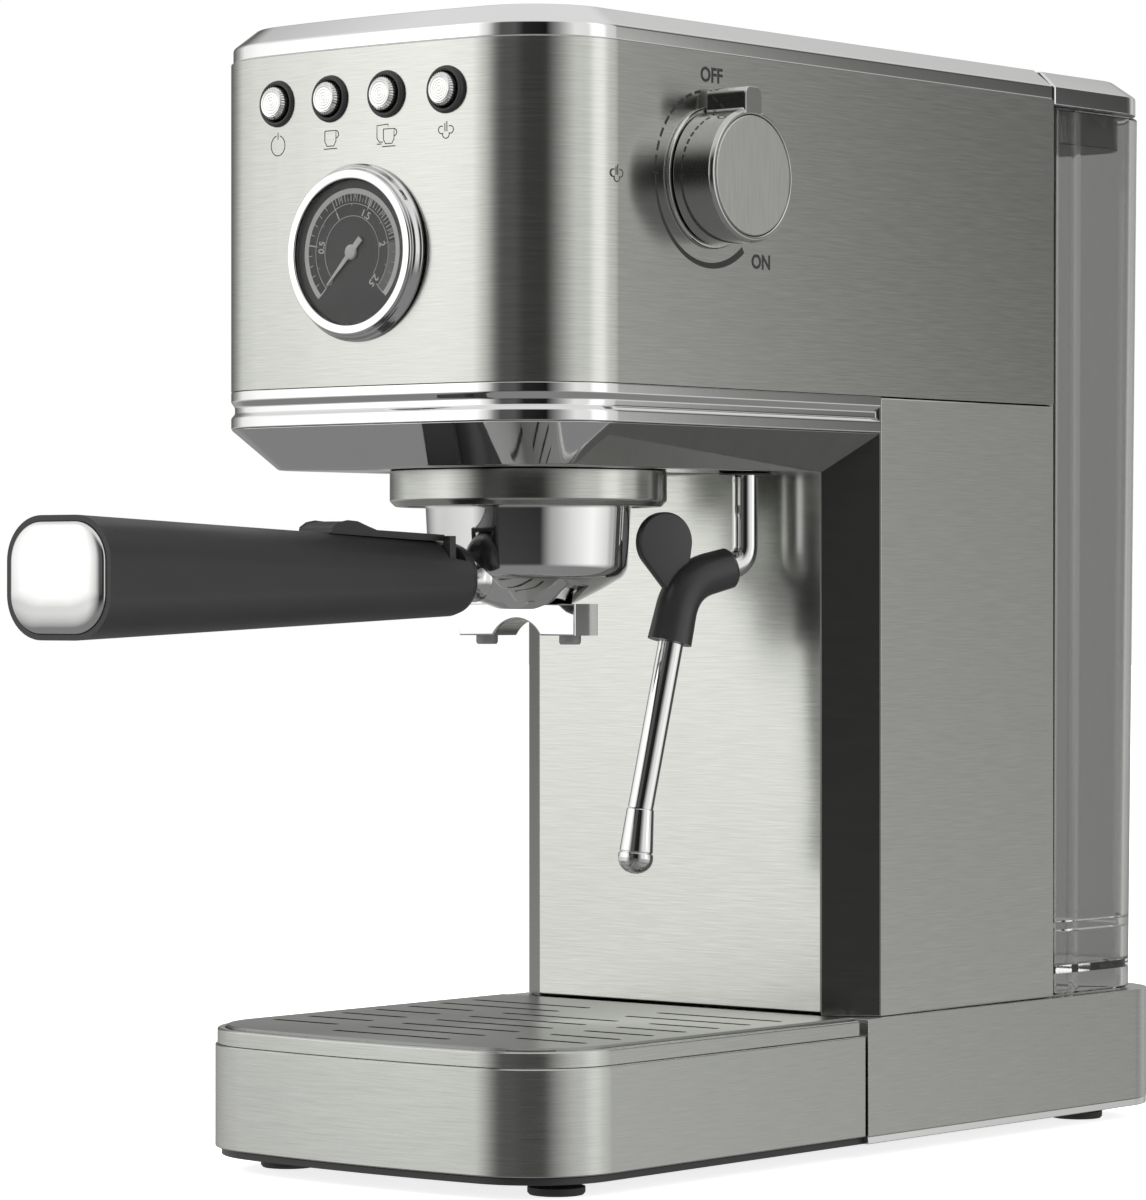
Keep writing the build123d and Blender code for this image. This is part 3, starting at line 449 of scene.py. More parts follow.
def softened(node, finish, roll=0.25):
    """A copy of a CAD piece with its sharp edges rolled over; roll is in millimetres."""
    bm = bmesh.new()
    bm.from_mesh(nodes[node].data)
    bmesh.ops.remove_doubles(bm, verts=bm.verts, dist=2e-6)
    bmesh.ops.dissolve_limit(bm, angle_limit=math.radians(0.6), verts=bm.verts, edges=bm.edges,
                             delimit={"NORMAL"})
    bm.verts.index_update()
    corners = [v.co.copy() for v in bm.verts]
    faces = [[v.index for v in face.verts] for face in bm.faces]
    bm.free()
    mesh = bpy.data.meshes.new(node + "_fine")
    mesh.from_pydata(corners, [], faces)
    piece = settle(mesh, node + "_fine", finish, node, SHARP_FROM)
    edge = piece.modifiers.new("rolled_edge", "BEVEL")
    edge.width = roll * MM
    edge.segments = 2
    edge.limit_method = "ANGLE"
    edge.angle_limit = math.radians(SHARP_FROM)
    edge.harden_normals = True
    flattened(piece)
    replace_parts(piece, node)
    return piece


# %% [markdown]
# The roll differs by how the real piece is made: a moulded grip has soft edges, a sheet-metal
# fold a small one, and a cut strip nearly none.

# %% Copy every visible casing with rolled edges
CASINGS = [
    (steel_wrap, 0.20, ["head_shell"]),
    (steel_side, 0.35, ["column_side_left", "column_side_right"]),
    (steel_base, 0.35, ["base_shell", "drip_tray"]),
    (steel_plate, 0.25, ["column_front_plate"]),
    (steel_dark, 0.25, ["column_corner_strips"]),
    (steel_top, 0.08, ["drip_grille", "top_deck"]),
    (steel_collar, 0.45, ["group_collar"]),
    (chrome_bright, 0.20, ["base_rear_strip"]),
    (steel_base, 0.15, ["tray_frame"]),
    (chrome_satin, 0.25, ["knob_base_ring"]),
    # The steam knob takes the darkened chrome: a painted dark reflection on its side.
    (chrome_knob_painted_dark, 0.40, ["steam_knob"]),
    (steel_disc, 0.15, ["steam_knob_face"]),
    (black_grip, 0.35, ["handle_grip"]),
    (black_plastic, 0.25, ["base_plate", "rear_panel", "cord_gland", "wand_bush"]),
]
for finish, roll, names in CASINGS:
    for name in names:
        softened(name, finish, roll)
print("casings copied:", sum(len(names) for _, _, names in CASINGS))

# %% Line the drip tray's tub with black, and paint the grille's slot walls black as painted shade
tray = bpy.data.objects["drip_tray_fine"]
tray_low, tray_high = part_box("drip_tray")
tray_middle = (tray_low + tray_high) / 2
tray.data.materials.append(black_plastic)
lined = 0
for polygon in tray.data.polygons:
    faces_in = (tray_middle - polygon.center).dot(polygon.normal) > 0.0005
    if faces_in and polygon.center.z > tray_low.z + 0.001:
        polygon.material_index = 1
        lined += 1
grille = bpy.data.objects["drip_grille_fine"]
grille_low, grille_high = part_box("drip_grille")
grille.data.materials.append(black_plastic)
SLOT_MARGIN = 4 * MM
# The grille's slot walls are painted black: painted shade, standing in for the dark inside of the
# slots.
for polygon in grille.data.polygons:
    middle = polygon.center
    within = all(grille_low[k] + SLOT_MARGIN < middle[k] < grille_high[k] - SLOT_MARGIN
                 for k in (0, 1))
    if within and abs(polygon.normal.z) < 0.3:
        polygon.material_index = 1
print("tub faces lined:", lined)

# %% [markdown]
# ## Clean sheets round the head
# The skirt and both trims mirror the room, so a single crooked facet would show. They are built
# from the head's exact outline: every point carries its outward normal and is moved inwards by
# the inset of its level. The tank is built in the same way, level by level.

# %% Join level outlines into a skin
BOW_R = 400.0
BOW_END = 5.41
CORNER_X, CORNER_Y, CORNER_R = 35.1, 29.66, 28.0
HEAD_HALF = 63.1
CHAMFER_Y, CHAMFER_SLOPE, COLUMN_Y = 142.7, 0.819, 132.3


def head_outline(inset, end_y):
    """Points from the left rear round the bowed front to the right rear."""
    turns = [math.radians(BOW_END * k / 12) for k in range(13)]
    half = [(BOW_R * math.sin(t), BOW_R - BOW_R * math.cos(t), t) for t in turns]
    turns = [math.radians(BOW_END + (90 - BOW_END) * k / 36) for k in range(1, 37)]
    half += [(CORNER_X + CORNER_R * math.sin(t), CORNER_Y - CORNER_R * math.cos(t), t) for t in turns]
    half = [(x - math.sin(t) * inset, y + math.cos(t) * inset) for x, y, t in half]
    half.append((half[-1][0], end_y))
    return [(-x, y) for x, y in reversed(half[1:])] + half


def arc(cx, cy, radius, first, last, steps=24):
    """Points on an arc; angles are degrees clockwise from the top."""
    turns = [math.radians(first + (last - first) * k / steps) for k in range(steps + 1)]
    return [(cx + radius * math.sin(t), cy + radius * math.cos(t)) for t in turns]


def levelled(bm, levels):
    """Rows of vertices on level outlines [(points, z)]."""
    return [[bm.verts.new(at(x, y, z)) for x, y in points] for points, z in levels]


def walled(bm, rows, closed=True):
    """Quads between neighbouring rows of vertices; closed rows also join their own ends."""
    for low, high in zip(rows, rows[1:]):
        for k in range(len(low) if closed else len(low) - 1):
            following = (k + 1) % len(low)
            bm.faces.new((low[k], low[following], high[following], high[k]))


def skinned(bm, rows):
    """A solid skin: walls between closed rows, and a face at each end."""
    walled(bm, rows)
    bm.faces.new(rows[0])
    bm.faces.new(list(reversed(rows[-1])))


def eased(before, corner, after, reach, steps):
    """Points of a soft turn round a corner, from and to that reach along its two sides."""
    start = corner + (before - corner).normalized() * reach
    end = corner + (after - corner).normalized() * reach
    shares = [k / steps for k in range(steps + 1)]
    return [start * (1 - t) ** 2 + corner * 2 * t * (1 - t) + end * t ** 2 for t in shares]


def soft_corners(profile, radius, steps=3):
    """Round every corner of a closed (inset, level) profile."""
    smooth = []
    points = [Vector(p) for p in profile]
    for before, corner, after in zip(points[-1:] + points, points, points[1:] + points[:1]):
        reach = min(radius, 0.4 * (before - corner).length, 0.4 * (after - corner).length)
        smooth += eased(before, corner, after, reach, steps)
    return smooth


def head_wrap(node, profile, radius, rear_y, slope=0.0):
    """A trim of the given (inset, level) section round the head."""
    bm = bmesh.new()
    rows = levelled(bm, [(head_outline(inset, max(rear_y - slope * inset, COLUMN_Y)), level)
                         for inset, level in soft_corners(profile, radius)])
    walled(bm, rows + rows[:1], closed=False)
    bm.faces.new([row[0] for row in rows])
    bm.faces.new([row[-1] for row in reversed(rows)])
    piece = settle(mesh_of(bm, node + "_fine"), node + "_fine", chrome_bright, node, 50)
    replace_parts(flattened(piece), node)
    return piece


# %% The skirt, its floor, and both trims
SKIRT_LOW, SKIRT_TOP, SKIRT_INSET = 187.1, 197.9, 12.7
SKIRT_SHEET, FLOOR_SHEET = 1.4, 1.2
FLOOR_INSET = 14.2
GROUP_Y, GROUP_HOLE_R = 68.2, 34.4
WAND_X, WAND_Y, WAND_HOLE_R = 33.0, 121.0, 6.05
skirt_section = [(FLOOR_INSET, SKIRT_LOW), (SKIRT_INSET, SKIRT_LOW), (0.0, SKIRT_TOP),
                 (SKIRT_SHEET, SKIRT_TOP), (FLOOR_INSET, SKIRT_LOW + SKIRT_SHEET)]
lower_section = [(0.0, 198.0), (0.0, 200.9), (1.0, 202.1), (1.0, 203.8), (0.0, 205.2), (0.0, 207.9),
                 (1.3, 207.9), (1.3, 198.0)]
top_section = [(0.6, 295.5), (0.6, 299.5), (7.0, 304.5), (8.0, 304.5), (8.0, 295.5)]
head_wrap("head_skirt", skirt_section, 0.5, CHAMFER_Y, CHAMFER_SLOPE)
head_wrap("head_lower_trim", lower_section, 0.35, CHAMFER_Y, CHAMFER_SLOPE)
head_wrap("top_trim", top_section, 0.6, 226.4)

floor_bm = bmesh.new()
loops = [head_outline(FLOOR_INSET - 0.7, COLUMN_Y)]
for x, y, r in ((0.0, GROUP_Y, GROUP_HOLE_R), (WAND_X, WAND_Y, WAND_HOLE_R)):
    loops.append([(x + r * math.sin(math.radians(5 * k)), y + r * math.cos(math.radians(5 * k)))
                  for k in range(72)])
edges = []
for loop in loops:
    verts = [floor_bm.verts.new(at(x, y, SKIRT_LOW)) for x, y in loop]
    edges += [floor_bm.edges.new((a, b)) for a, b in zip(verts, verts[1:] + verts[:1])]
bmesh.ops.triangle_fill(floor_bm, edges=edges, use_beauty=True)
for face in floor_bm.faces:
    face.normal_update()
    if face.normal.z > 0:
        face.normal_flip()
floor_mesh = bpy.data.meshes.new("head_floor")
floor_bm.to_mesh(floor_mesh)
floor_bm.free()
head_floor = settle(floor_mesh, "head_floor", chrome_bright, "head_skirt")
sheet = head_floor.modifiers.new("sheet", "SOLIDIFY")
sheet.thickness = FLOOR_SHEET * MM
sheet.offset = -1
print("floor triangles:", len(head_floor.data.polygons))

# %% The smoked tank, with a recessed front part, a ledge and a raised floor
TANK_FRONT, TANK_STEP = 227.6, 239.4
TANK_LOW, TANK_TOP, TANK_WALL = 38.7, 293.5, 2.2


def box_outline(half, front, rear, front_r, rear_r):
    """A closed outline whose number of points is the same for any size and corner radii."""
    side = [(half - front_r + x, front + front_r - y) for x, y in arc(0, 0, front_r, 0, 90, 8)]
    side += [(half - rear_r + x, rear - rear_r + y)
             for x, y in reversed(arc(0, 0, rear_r, 0, 90, 20))]
    return side + [(-x, y) for x, y in reversed(side)]


def tank_outline(z, inset):
    """A closed outline that grows a little upwards; the part next to the head is narrower."""
    grown = (z - TANK_LOW) / (TANK_TOP - TANK_LOW)
    half, rear = 61.9 + 1.0 * grown - inset, 279.4 + 3.2 * grown - inset
    narrow, front = half - 0.6, TANK_FRONT + inset
    small, large = max(3.0 - inset, 0.6), 18.0 - inset
    side = [(narrow - small + x, front + small - y) for x, y in arc(0, 0, small, 0, 90, 6)]
    side += [(narrow, TANK_STEP - 1.6), (narrow + 0.12, TANK_STEP - 0.6),
             (half - 0.12, TANK_STEP + 0.6), (half, TANK_STEP + 1.6)]
    side += [(half - large + x, rear - large + y) for x, y in reversed(arc(0, 0, large, 0, 90, 20))]
    return side + [(-x, y) for x, y in reversed(side)]


tank_levels = [(44.6, TANK_WALL), (39.4, TANK_WALL), (TANK_LOW, 1.7), (TANK_LOW, 0.5), (39.2, 0.0),
               (293.1, 0.0), (TANK_TOP, 0.4), (TANK_TOP, 1.8), (293.1, TANK_WALL),
               (59.8, TANK_WALL), (59.2, 3.0), (57.2, 3.0), (56.6, TANK_WALL), (47.6, TANK_WALL),
               (46.8, 3.0)]
tank_bm = bmesh.new()
skinned(tank_bm, levelled(tank_bm, [(tank_outline(z, inset), z) for z, inset in tank_levels]))
HINGE_X, LID_AXIS_Y, LID_AXIS_Z = 51.0, 230.0, 301.6
LUG_SIDE, LUG_FOOT, LUG_HEAD = 4.0, 292.6, LID_AXIS_Z + 1.2
for side in (-1, 1):
    lug = Matrix.Translation(at(side * HINGE_X, LID_AXIS_Y, (LUG_FOOT + LUG_HEAD) / 2))
    lug = lug @ Matrix.Diagonal((LUG_SIDE, LUG_SIDE, LUG_HEAD - LUG_FOOT, 1))
    bmesh.ops.create_cube(tank_bm, size=MM, matrix=lug)
tank = settle(mesh_of(tank_bm, "water_tank_fine"), "water_tank_fine", smoked, "water_tank", 40)
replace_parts(flattened(tank), "water_tank")
print("tank levels:", len(tank_levels))

# %% The lid: a plug, a bevelled rim and a dished finger recess
LID_HALF, LID_REAR, LID_LOW = 62.5, 282.4, 294.4
plug_levels = [(56, 236, 276, 12, 12, 284.3), (56.3, 235.7, 276.3, 12, 12, 284.6),
               (56.3, 235.7, 276.3, 12, 12, LID_LOW)]
rim_levels = [(LID_HALF - i, TANK_FRONT + i / 2, LID_REAR - i, 0.8, 18 - i, z)
              for i, z in ((0.3, LID_LOW), (0.05, LID_LOW + 0.1), (0.0, LID_LOW + 0.4),
                           (0.0, 299.2), (0.2, 299.7), (6.6, 304.2), (7.4, 304.5))]
dish_levels = [(52.5, 238.5, 272.5, 9, 9, 304.5), (52.0, 239.0, 272.0, 9, 9, 304.0),
               (51.5, 239.5, 271.5, 9, 9, 286.5), (51.0, 240.0, 271.0, 9, 9, 286.0)]
lid_levels = plug_levels + rim_levels + dish_levels
lid_bm = bmesh.new()
skinned(lid_bm, levelled(lid_bm, [(box_outline(half, front, rear, a, b), z)
                                  for half, front, rear, a, b, z in lid_levels]))
lid = settle(mesh_of(lid_bm, "tank_lid_fine"), "tank_lid_fine", chrome_bright, "tank_lid", 50)
lid.data.materials.append(smoky_grey)
lid.data.materials.append(black_plastic)
for polygon in lid.data.polygons:
    if polygon.center.z < (LID_LOW + 0.05) * MM:
        polygon.material_index = 1
    elif polygon.normal.y < -0.8 and polygon.center.y < at(0, TANK_FRONT + 2, 0).y:
        polygon.material_index = 2
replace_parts(flattened(lid), "tank_lid")
print("lid levels:", len(lid_levels))

# %% [markdown]
# ## Turned pieces
# Bezels, buttons, the portafilter's cup and the wand's tip are turned on a lathe in the factory, and
# here too: a profile of (radius, height) points is spun round its axis. Corners are rounded first,
# because a polished part shows its radius as a highlight.


# %% Round a profile, and spin it
def rounded(profile, radius, steps=3):
    """Replace each inner corner of a profile by a short arc of about that radius."""
    points = [Vector(p) for p in profile]
    smooth = [points[0]]
    for before, corner, after in zip(points, points[1:], points[2:]):
        reach = min(radius, 0.45 * (before - corner).length, 0.45 * (after - corner).length)
        smooth += eased(before, corner, after, reach, steps)
    return smooth + [points[-1]]


def spun(bm, profile, place, steps=96, flutes=None):
    """Spin a profile round local Z; flutes maps a profile point to the depth of its knurling."""
    rings = []
    for index, (radius, level) in enumerate(profile):
        if radius < 1e-6:
            rings.append([bm.verts.new(place @ Vector((0, 0, level)))] * steps)
            continue
        depth = (flutes or {}).get(index, 0.0)
        ring = []
        for k in range(steps):
            turn = 2 * math.pi * k / steps
            r = radius - (depth if k % 2 else 0.0)
            ring.append(bm.verts.new(place @ Vector((r * math.cos(turn), r * math.sin(turn), level))))
        rings.append(ring)
    for low, high in zip(rings, rings[1:]):
        for k in range(steps):
            following = (k + 1) % steps
            corners = [low[k], low[following], high[following], high[k]]
            whole = list(dict.fromkeys(corners))
            if len(whole) > 2:
                bm.faces.new(whole)
    return bm


def turned(name, profile, place, finish, twin, radius=0.2, **options):
    """A turned piece; a profile whose ends meet makes a ring."""
    bm = bmesh.new()
    spun(bm, rounded(profile, radius), place, **options)
    bmesh.ops.remove_doubles(bm, verts=bm.verts, dist=1e-7)
    return settle(mesh_of(bm, name), name, finish, twin)


print("lathe ready")

# %% [markdown]
# ## The pressure gauge
# A domed chrome bezel stands in front of the bowed head and carries the lens. Behind the
# lens lies a printed dial: a silver scale from 0 to 2.5, fine marks, and a grey zone at its end.

# %% Bezel, lens and dial plate
GAUGE_Z = 242.4
gauge_place = facing((0, 0, GAUGE_Z), (0, 1, 0), (0, 0, -1))
bezel_profile = [(18.9, 0.3), (18.9, -3.7), (19.1, -3.95), (21.2, -4.0), (21.55, -3.6),
                 (21.6, -2.7), (22.1, -2.4), (22.6, -1.3), (23.1, -0.8), (23.1, -0.05),
                 (20.9, -0.05), (20.9, 0.3), (18.9, 0.3)]
bezel = turned("gauge_bezel_fine", bezel_profile, gauge_place, chrome_bright, "gauge_bezel", 0.2,
               steps=160)
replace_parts(bezel, "gauge_bezel")
lens_profile = [(0, -3.65), (18.6, -3.6), (18.75, -3.4), (18.75, -3.15), (0, -3.15)]
lens = turned("gauge_lens_fine", lens_profile, gauge_place, lens_glass, "gauge_lens", 0.3)
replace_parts(lens, "gauge_lens")
dial_profile = [(0.9, -2.2), (18.6, -2.2), (18.7, -2.1), (18.7, 0.3), (17.2, 0.3), (17.2, -0.9),
                (0.9, -0.9), (0.9, -2.2)]
dial = turned("gauge_dial_fine", dial_profile, gauge_place, dial_black, "gauge_dial", 0.1, steps=128)
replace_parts(dial, "gauge_dial")
print("gauge pieces: 3")

# %% [markdown]
# Print is a layer of ink a few hundredths of a millimetre thick. Every stroke here is a thin closed
# strip that follows a line on its surface, so it bends with the bowed front, and one function draws
# them all.


# %% Lay strokes of ink on a surface
INK = 0.03
CAPITAL_SHARE = 0.69


def strip(bm, line, width, onto):
    """A thin closed strip along a flat line; width is a number or one number for each point."""
    widths = width if isinstance(width, list) else [width] * len(line)
    rings = []
    for k, (point, wide) in enumerate(zip(line, widths)):
        before = Vector(line[max(k - 1, 0)])
        after = Vector(line[min(k + 1, len(line) - 1)])
        run = (after - before).normalized()
        side = Vector((-run.y, run.x)) * wide / 2
        left, right = Vector(point) + side, Vector(point) - side
        edges = [(left, INK), (right, INK), (right, -INK), (left, -INK)]
        rings.append([bm.verts.new(onto(spot.x, spot.y, lift)) for spot, lift in edges])
    skinned(bm, rings)


def printed(name, strokes, onto, finish, twin):
    """A mark made of (line, width) strokes on the surface that onto describes."""
    bm = bmesh.new()
    for line, width in strokes:
        strip(bm, line, width, onto)
    return settle(mesh_of(bm, name), name, finish, twin)


def lettered(name, words, onto, finish, twin, weight=0.0):
    """Plain numbers or words; each is (text, x, y, height of a capital)."""
    bm = bmesh.new()
    for text, x, y, tall in words:
        curve = bpy.data.curves.new("letters", "FONT")
        curve.body = text
        curve.size = tall / CAPITAL_SHARE
        curve.align_x = "CENTER"
        curve.resolution_u = 3
        curve.extrude = INK
        curve.offset = weight
        carrier = bpy.data.objects.new("letters", curve)
        flat = bpy.data.meshes.new_from_object(carrier)
        first = len(bm.verts)
        bm.from_mesh(flat)
        bm.verts.ensure_lookup_table()
        for vert in bm.verts[first:]:
            vert.co = onto(vert.co.x + x, vert.co.y + y - tall / 2, vert.co.z)
        bpy.data.objects.remove(carrier)
        bpy.data.meshes.remove(flat)
    bmesh.ops.remove_doubles(bm, verts=bm.verts, dist=1e-7)
    return settle(mesh_of(bm, name), name, finish, twin)


print("ink ready")

# %% Print the dial
DIAL_Y = -2.23
FULL = 2.5
ZERO_TURN, SWEEP = -135, 270
MARK_TOP = 15.3


def on_dial(x, z, lift):
    return at(x, DIAL_Y - lift, GAUGE_Z + z)


def scale_turn(value):
    """Where a value stands on the scale, in degrees clockwise from the top."""
    return ZERO_TURN + SWEEP * value / FULL


def spoke(turn, inner, outer, width):
    return arc(0, 0, inner, turn, turn, 1)[:1] + arc(0, 0, outer, turn, turn, 1)[:1], width


scale_lines = [(arc(0, 0, 15.8, ZERO_TURN, -ZERO_TURN, 90), 1.4),
               (arc(0, 0, 12.6, ZERO_TURN, -ZERO_TURN, 72), 0.16),
               (arc(0, 0, 9.4, -128, 128, 60), 0.14)]
scale_lines += [spoke(scale_turn(k * 0.1), 13.9, MARK_TOP, 0.18) for k in range(26) if k % 5]
scale_lines += [spoke(scale_turn(k * 0.5), 12.7, MARK_TOP, 0.34) for k in range(6)]
scale_lines += [spoke(scale_turn(1 + k * 0.04), 13.2, MARK_TOP, 0.22) for k in range(26)]
scale_lines += [spoke(scale_turn(k * 0.25), 11.9, 12.6, 0.15) for k in range(11)]
printed("dial_scale", scale_lines, on_dial, print_silver, "gauge_dial")
full_band = [(arc(0, 0, 13.9, scale_turn(2.0), scale_turn(FULL), 24), 2.3)]
printed("dial_full_band", full_band, on_dial, dial_grey, "gauge_dial")
for k in range(6):
    turn = math.radians(scale_turn(k * 0.5))

    def leaning(x, z, lift, turn=turn):
        """The number's own upright frame, turned to its place on the scale."""
        return on_dial(x * math.cos(turn) + z * math.sin(turn),
                       z * math.cos(turn) - x * math.sin(turn), lift)

    lettered(f"dial_number_{k}", [(f"{k * 0.5:g}", 0, 10.7, 1.9)], leaning, print_silver,
             "gauge_dial", 0.05)
print("dial strokes:", len(scale_lines))

# %% The needle, with its hub
needle_bm = bmesh.new()
hub_profile = [(0, -3.05), (1.5, -3.05), (2.0, -2.8), (2.0, -2.3), (0, -2.3)]
spun(needle_bm, rounded(hub_profile, 0.2), gauge_place, 48)
BLADE_Y, BLADE_LIFT = -2.65, 6
TIP, TAIL = 11.7, 4.9


def on_needle(x, z, lift):
    """The blade is drawn upright and turned to zero; it is thicker than ink."""
    turn = math.radians(ZERO_TURN)
    return at(x * math.cos(turn) + z * math.sin(turn), BLADE_Y - lift * BLADE_LIFT,
              GAUGE_Z - x * math.sin(turn) + z * math.cos(turn))


strip(needle_bm, [(0, -TAIL), (0, -1), (0, TIP)], [1.7, 1.5, 0.5], on_needle)
needle = settle(mesh_of(needle_bm, "gauge_needle_fine"), "gauge_needle_fine", print_silver,
                "gauge_needle")
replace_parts(needle, "gauge_needle")
print("needle length", TIP + TAIL)

# %% [markdown]
# ## Buttons
# Each of the four buttons is a chrome cap with a knurled rim and a turned face, in a black ring.
# The ring grooves are cut into the profile itself, and every other point of the rim is pulled in
# to make the knurling.

# %% Four caps and their rings
BUTTON_Z = 282.9
BUTTONS = {"button_power": -29.4, "button_one_cup": -9.8, "button_two_cups": 9.8,
           "button_steam": 29.4}


def bow_y(x):
    """How far back the bowed front is at a distance from the middle."""
    return BOW_R - math.sqrt(BOW_R ** 2 - x ** 2)


FACE_LEVEL, GROOVE_LEVEL = -2.86, -2.81
cap_profile = [(0, FACE_LEVEL)]
for k in range(4):
    r = 0.5 + 0.72 * k
    cap_profile += [(r, FACE_LEVEL), (r + 0.16, GROOVE_LEVEL), (r + 0.32, FACE_LEVEL)]
cap_profile += [(3.3, -2.9), (3.45, -2.66), (3.7, -2.7), (4.35, -2.0), (4.4, 1.0), (0, 1.0)]
rim = len(cap_profile) - 3
ring_profile = [(4.72, 1.5), (4.72, -0.8), (5.1, -1.15), (5.7, -1.15), (6.1, -0.5), (6.1, 1.5),
                (4.72, 1.5)]
for name, x in BUTTONS.items():
    button_place = facing((x, bow_y(x), BUTTON_Z), (0, 1, 0), (0, 0, -1))
    cap_bm = spun(bmesh.new(), cap_profile, button_place, 72, {rim: 0.28, rim - 1: 0.12})
    cap = settle(mesh_of(cap_bm, name + "_fine"), name + "_fine", chrome_button, name, 20)
    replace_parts(cap, name)
    ring = turned(name + "_ring", ring_profile, button_place, black_plastic, "button_bezels", 0.25)
    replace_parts(ring, "button_bezels")
print("buttons:", len(BUTTONS))


# %% Icons under the buttons
ICON_Z = 272.6
LINE = 0.26


def on_front(x, z, lift):
    return at(x, bow_y(x) - lift, z)


def moved(line, dx, dy):
    return [(x + dx, y + dy) for x, y in line]


def mug(x, y, wide, tall):
    """A cup outline with its handle on the right."""
    half = wide / 2
    cup = [(-half, tall / 2), (-half, -tall * 0.2), (-half * 0.6, -tall / 2), (half * 0.6, -tall / 2),
           (half, -tall * 0.2), (half, tall / 2), (-half, tall / 2)]
    handle = arc(half, tall * 0.24, tall * 0.24, 0, 190, 10)
    return [(moved(cup, x, y), LINE), (moved(handle, x, y), LINE)]


def steam_cloud(x, y, size):
    """Three lobes and two rising wisps."""
    strokes = [(arc(x - 0.62 * size, y, 0.42 * size, 150, 390, 16), LINE),
               (arc(x, y - 0.5 * size, 0.46 * size, 75, 285, 16), LINE),
               (arc(x + 0.62 * size, y, 0.42 * size, -30, 210, 16), LINE)]
    for dx, foot, top in ((-0.14, -0.2, 0.75), (0.14, -0.2, 0.95)):
        strokes.append(([(x + dx * size, y + foot * size), (x + dx * size, y + top * size)], LINE))
    return strokes


POWER_Z = 271.9
power_icon = [(arc(-29.4, POWER_Z, 2.65, 14, 346, 40), LINE),
              ([(-29.4, POWER_Z + 1.6), (-29.4, POWER_Z + 3.5)], LINE)]
one_cup_icon = mug(-9.8, ICON_Z, 4.0, 4.0)
one_cup_icon.append(([(-12.2, ICON_Z - 2.7), (-7.4, ICON_Z - 2.7)], LINE))
two_cup_icon = mug(10.6, ICON_Z - 0.6, 3.6, 3.8)
hidden_mug = [(10.4, 1.9), (10.4, 2.5), (6.6, 2.3), (6.6, -0.9), (7.4, -2.0), (8.6, -2.0)]
for line in ([(8.4, -3.2), (12.8, -3.2)], hidden_mug, [(6.6, -2.5), (8.2, -2.5)]):
    two_cup_icon.append((moved(line, 0, ICON_Z), LINE))
steam_icon = steam_cloud(29.4, ICON_Z, 2.3)
for name, strokes in {"power": power_icon, "one_cup": one_cup_icon, "two_cups": two_cup_icon,
                      "steam": steam_icon}.items():
    printed("icon_" + name, strokes, on_front, print_dark, "head_shell")
print("icons: 4")

# %% [markdown]
# ## Marks round the steam knob
# The knob closes at OFF, on top, and opens towards ON. A dashed arc that turns into a swelling line
# shows how far, and a small cloud stands for steam.

# %% Print the knob's scale
KNOB_Y, KNOB_Z = 67.3, 262.6
SIDE_X = HEAD_HALF
ARC_R = 22.8


def on_side(y, z, lift):
    """The right side seen from outside: the front is on the left."""
    return at(SIDE_X + lift, y, z)


DASHES = 8
dash_span = 78 / DASHES
knob_marks = []
for k in range(DASHES):
    first = -10 - k * dash_span
    knob_marks.append((arc(KNOB_Y, KNOB_Z, ARC_R, first, first - 0.68 * dash_span, 6), 0.8))
swelling = [0.6 + 1.3 * k / 64 for k in range(65)]
knob_marks.append((arc(KNOB_Y, KNOB_Z, ARC_R, -90, -218, 64), swelling))
knob_marks.append(([(KNOB_Y - ARC_R - 1.1, KNOB_Z), (KNOB_Y - ARC_R + 1.1, KNOB_Z)], 0.45))
printed("knob_scale", knob_marks, on_side, print_dark, "head_shell")
printed("knob_steam_icon", steam_cloud(28.9, 261.5, 2.3), on_side, print_dark, "head_shell")
lettered("knob_words", [("OFF", 67.9, 289.7, 3.7), ("ON", 89.1, 241.9, 3.6)], on_side, print_dark,
         "head_shell", 0.16)
print("knob marks:", len(knob_marks))

# %% [markdown]
# ## Portafilter
# The handle assembly is locked a few degrees to the right of straight ahead. Its cup is one
# polished pressing: a slightly tapered wall, a tight turn, and a shallow bowl below.

# %% The polished cup, its ears and neck
LOCK_ANGLE = 4.0
HANDLE_Z = 157.9
lock_turn = Matrix.Rotation(math.radians(LOCK_ANGLE), 4, "Z")
group_place = Matrix.Translation(at(0, GROUP_Y, 0)) @ lock_turn @ Matrix.Scale(MM, 4)
cup_profile = [(26.2, 184.0), (28.4, 184.0), (28.4, 178.8), (27.75, 177.4), (26.9, 160.9),
               (25.6, 158.6), (20.0, 155.3), (13.0, 151.7), (8.0, 149.85), (3.0, 149.8),
               (3.0, 157.0), (22.0, 160.5), (24.3, 163.0), (26.2, 184.0)]
filter_bm = spun(bmesh.new(), rounded(cup_profile, 1.1, 4), group_place, 144)
upright = group_place @ Matrix.Rotation(math.radians(90), 4, "X")
neck_place = upright @ Matrix.Translation((0, HANDLE_Z, 0))
neck_profile = [(0, 21.6), (6.4, 24.2), (5.2, 26.5), (4.9, 29.0), (5.0, 34.5), (3.0, 34.6),
                (3.0, 72.0), (0, 72.0)]
spun(filter_bm, rounded(neck_profile, 0.8), neck_place, 64)
EAR_SECTION = ((27.0, 179.4), (33.5, 179.4), (33.5, 182.8), (27.0, 182.8))
for start in (70, 250):
    ear = []
    for t in [math.radians(start + 4 * k) for k in range(11)]:
        spots = [Vector((r * math.cos(t), r * math.sin(t), z)) for r, z in EAR_SECTION]
        ear.append([filter_bm.verts.new(group_place @ spot) for spot in spots])
    skinned(filter_bm, ear)
bmesh.ops.remove_doubles(filter_bm, verts=filter_bm.verts, dist=1e-7)
filter_cup = settle(mesh_of(filter_bm, "portafilter_body_fine"), "portafilter_body_fine",
                    chrome_bright, "portafilter_body")
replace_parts(filter_cup, "portafilter_body")
print("portafilter cup faces:", len(filter_cup.data.polygons))


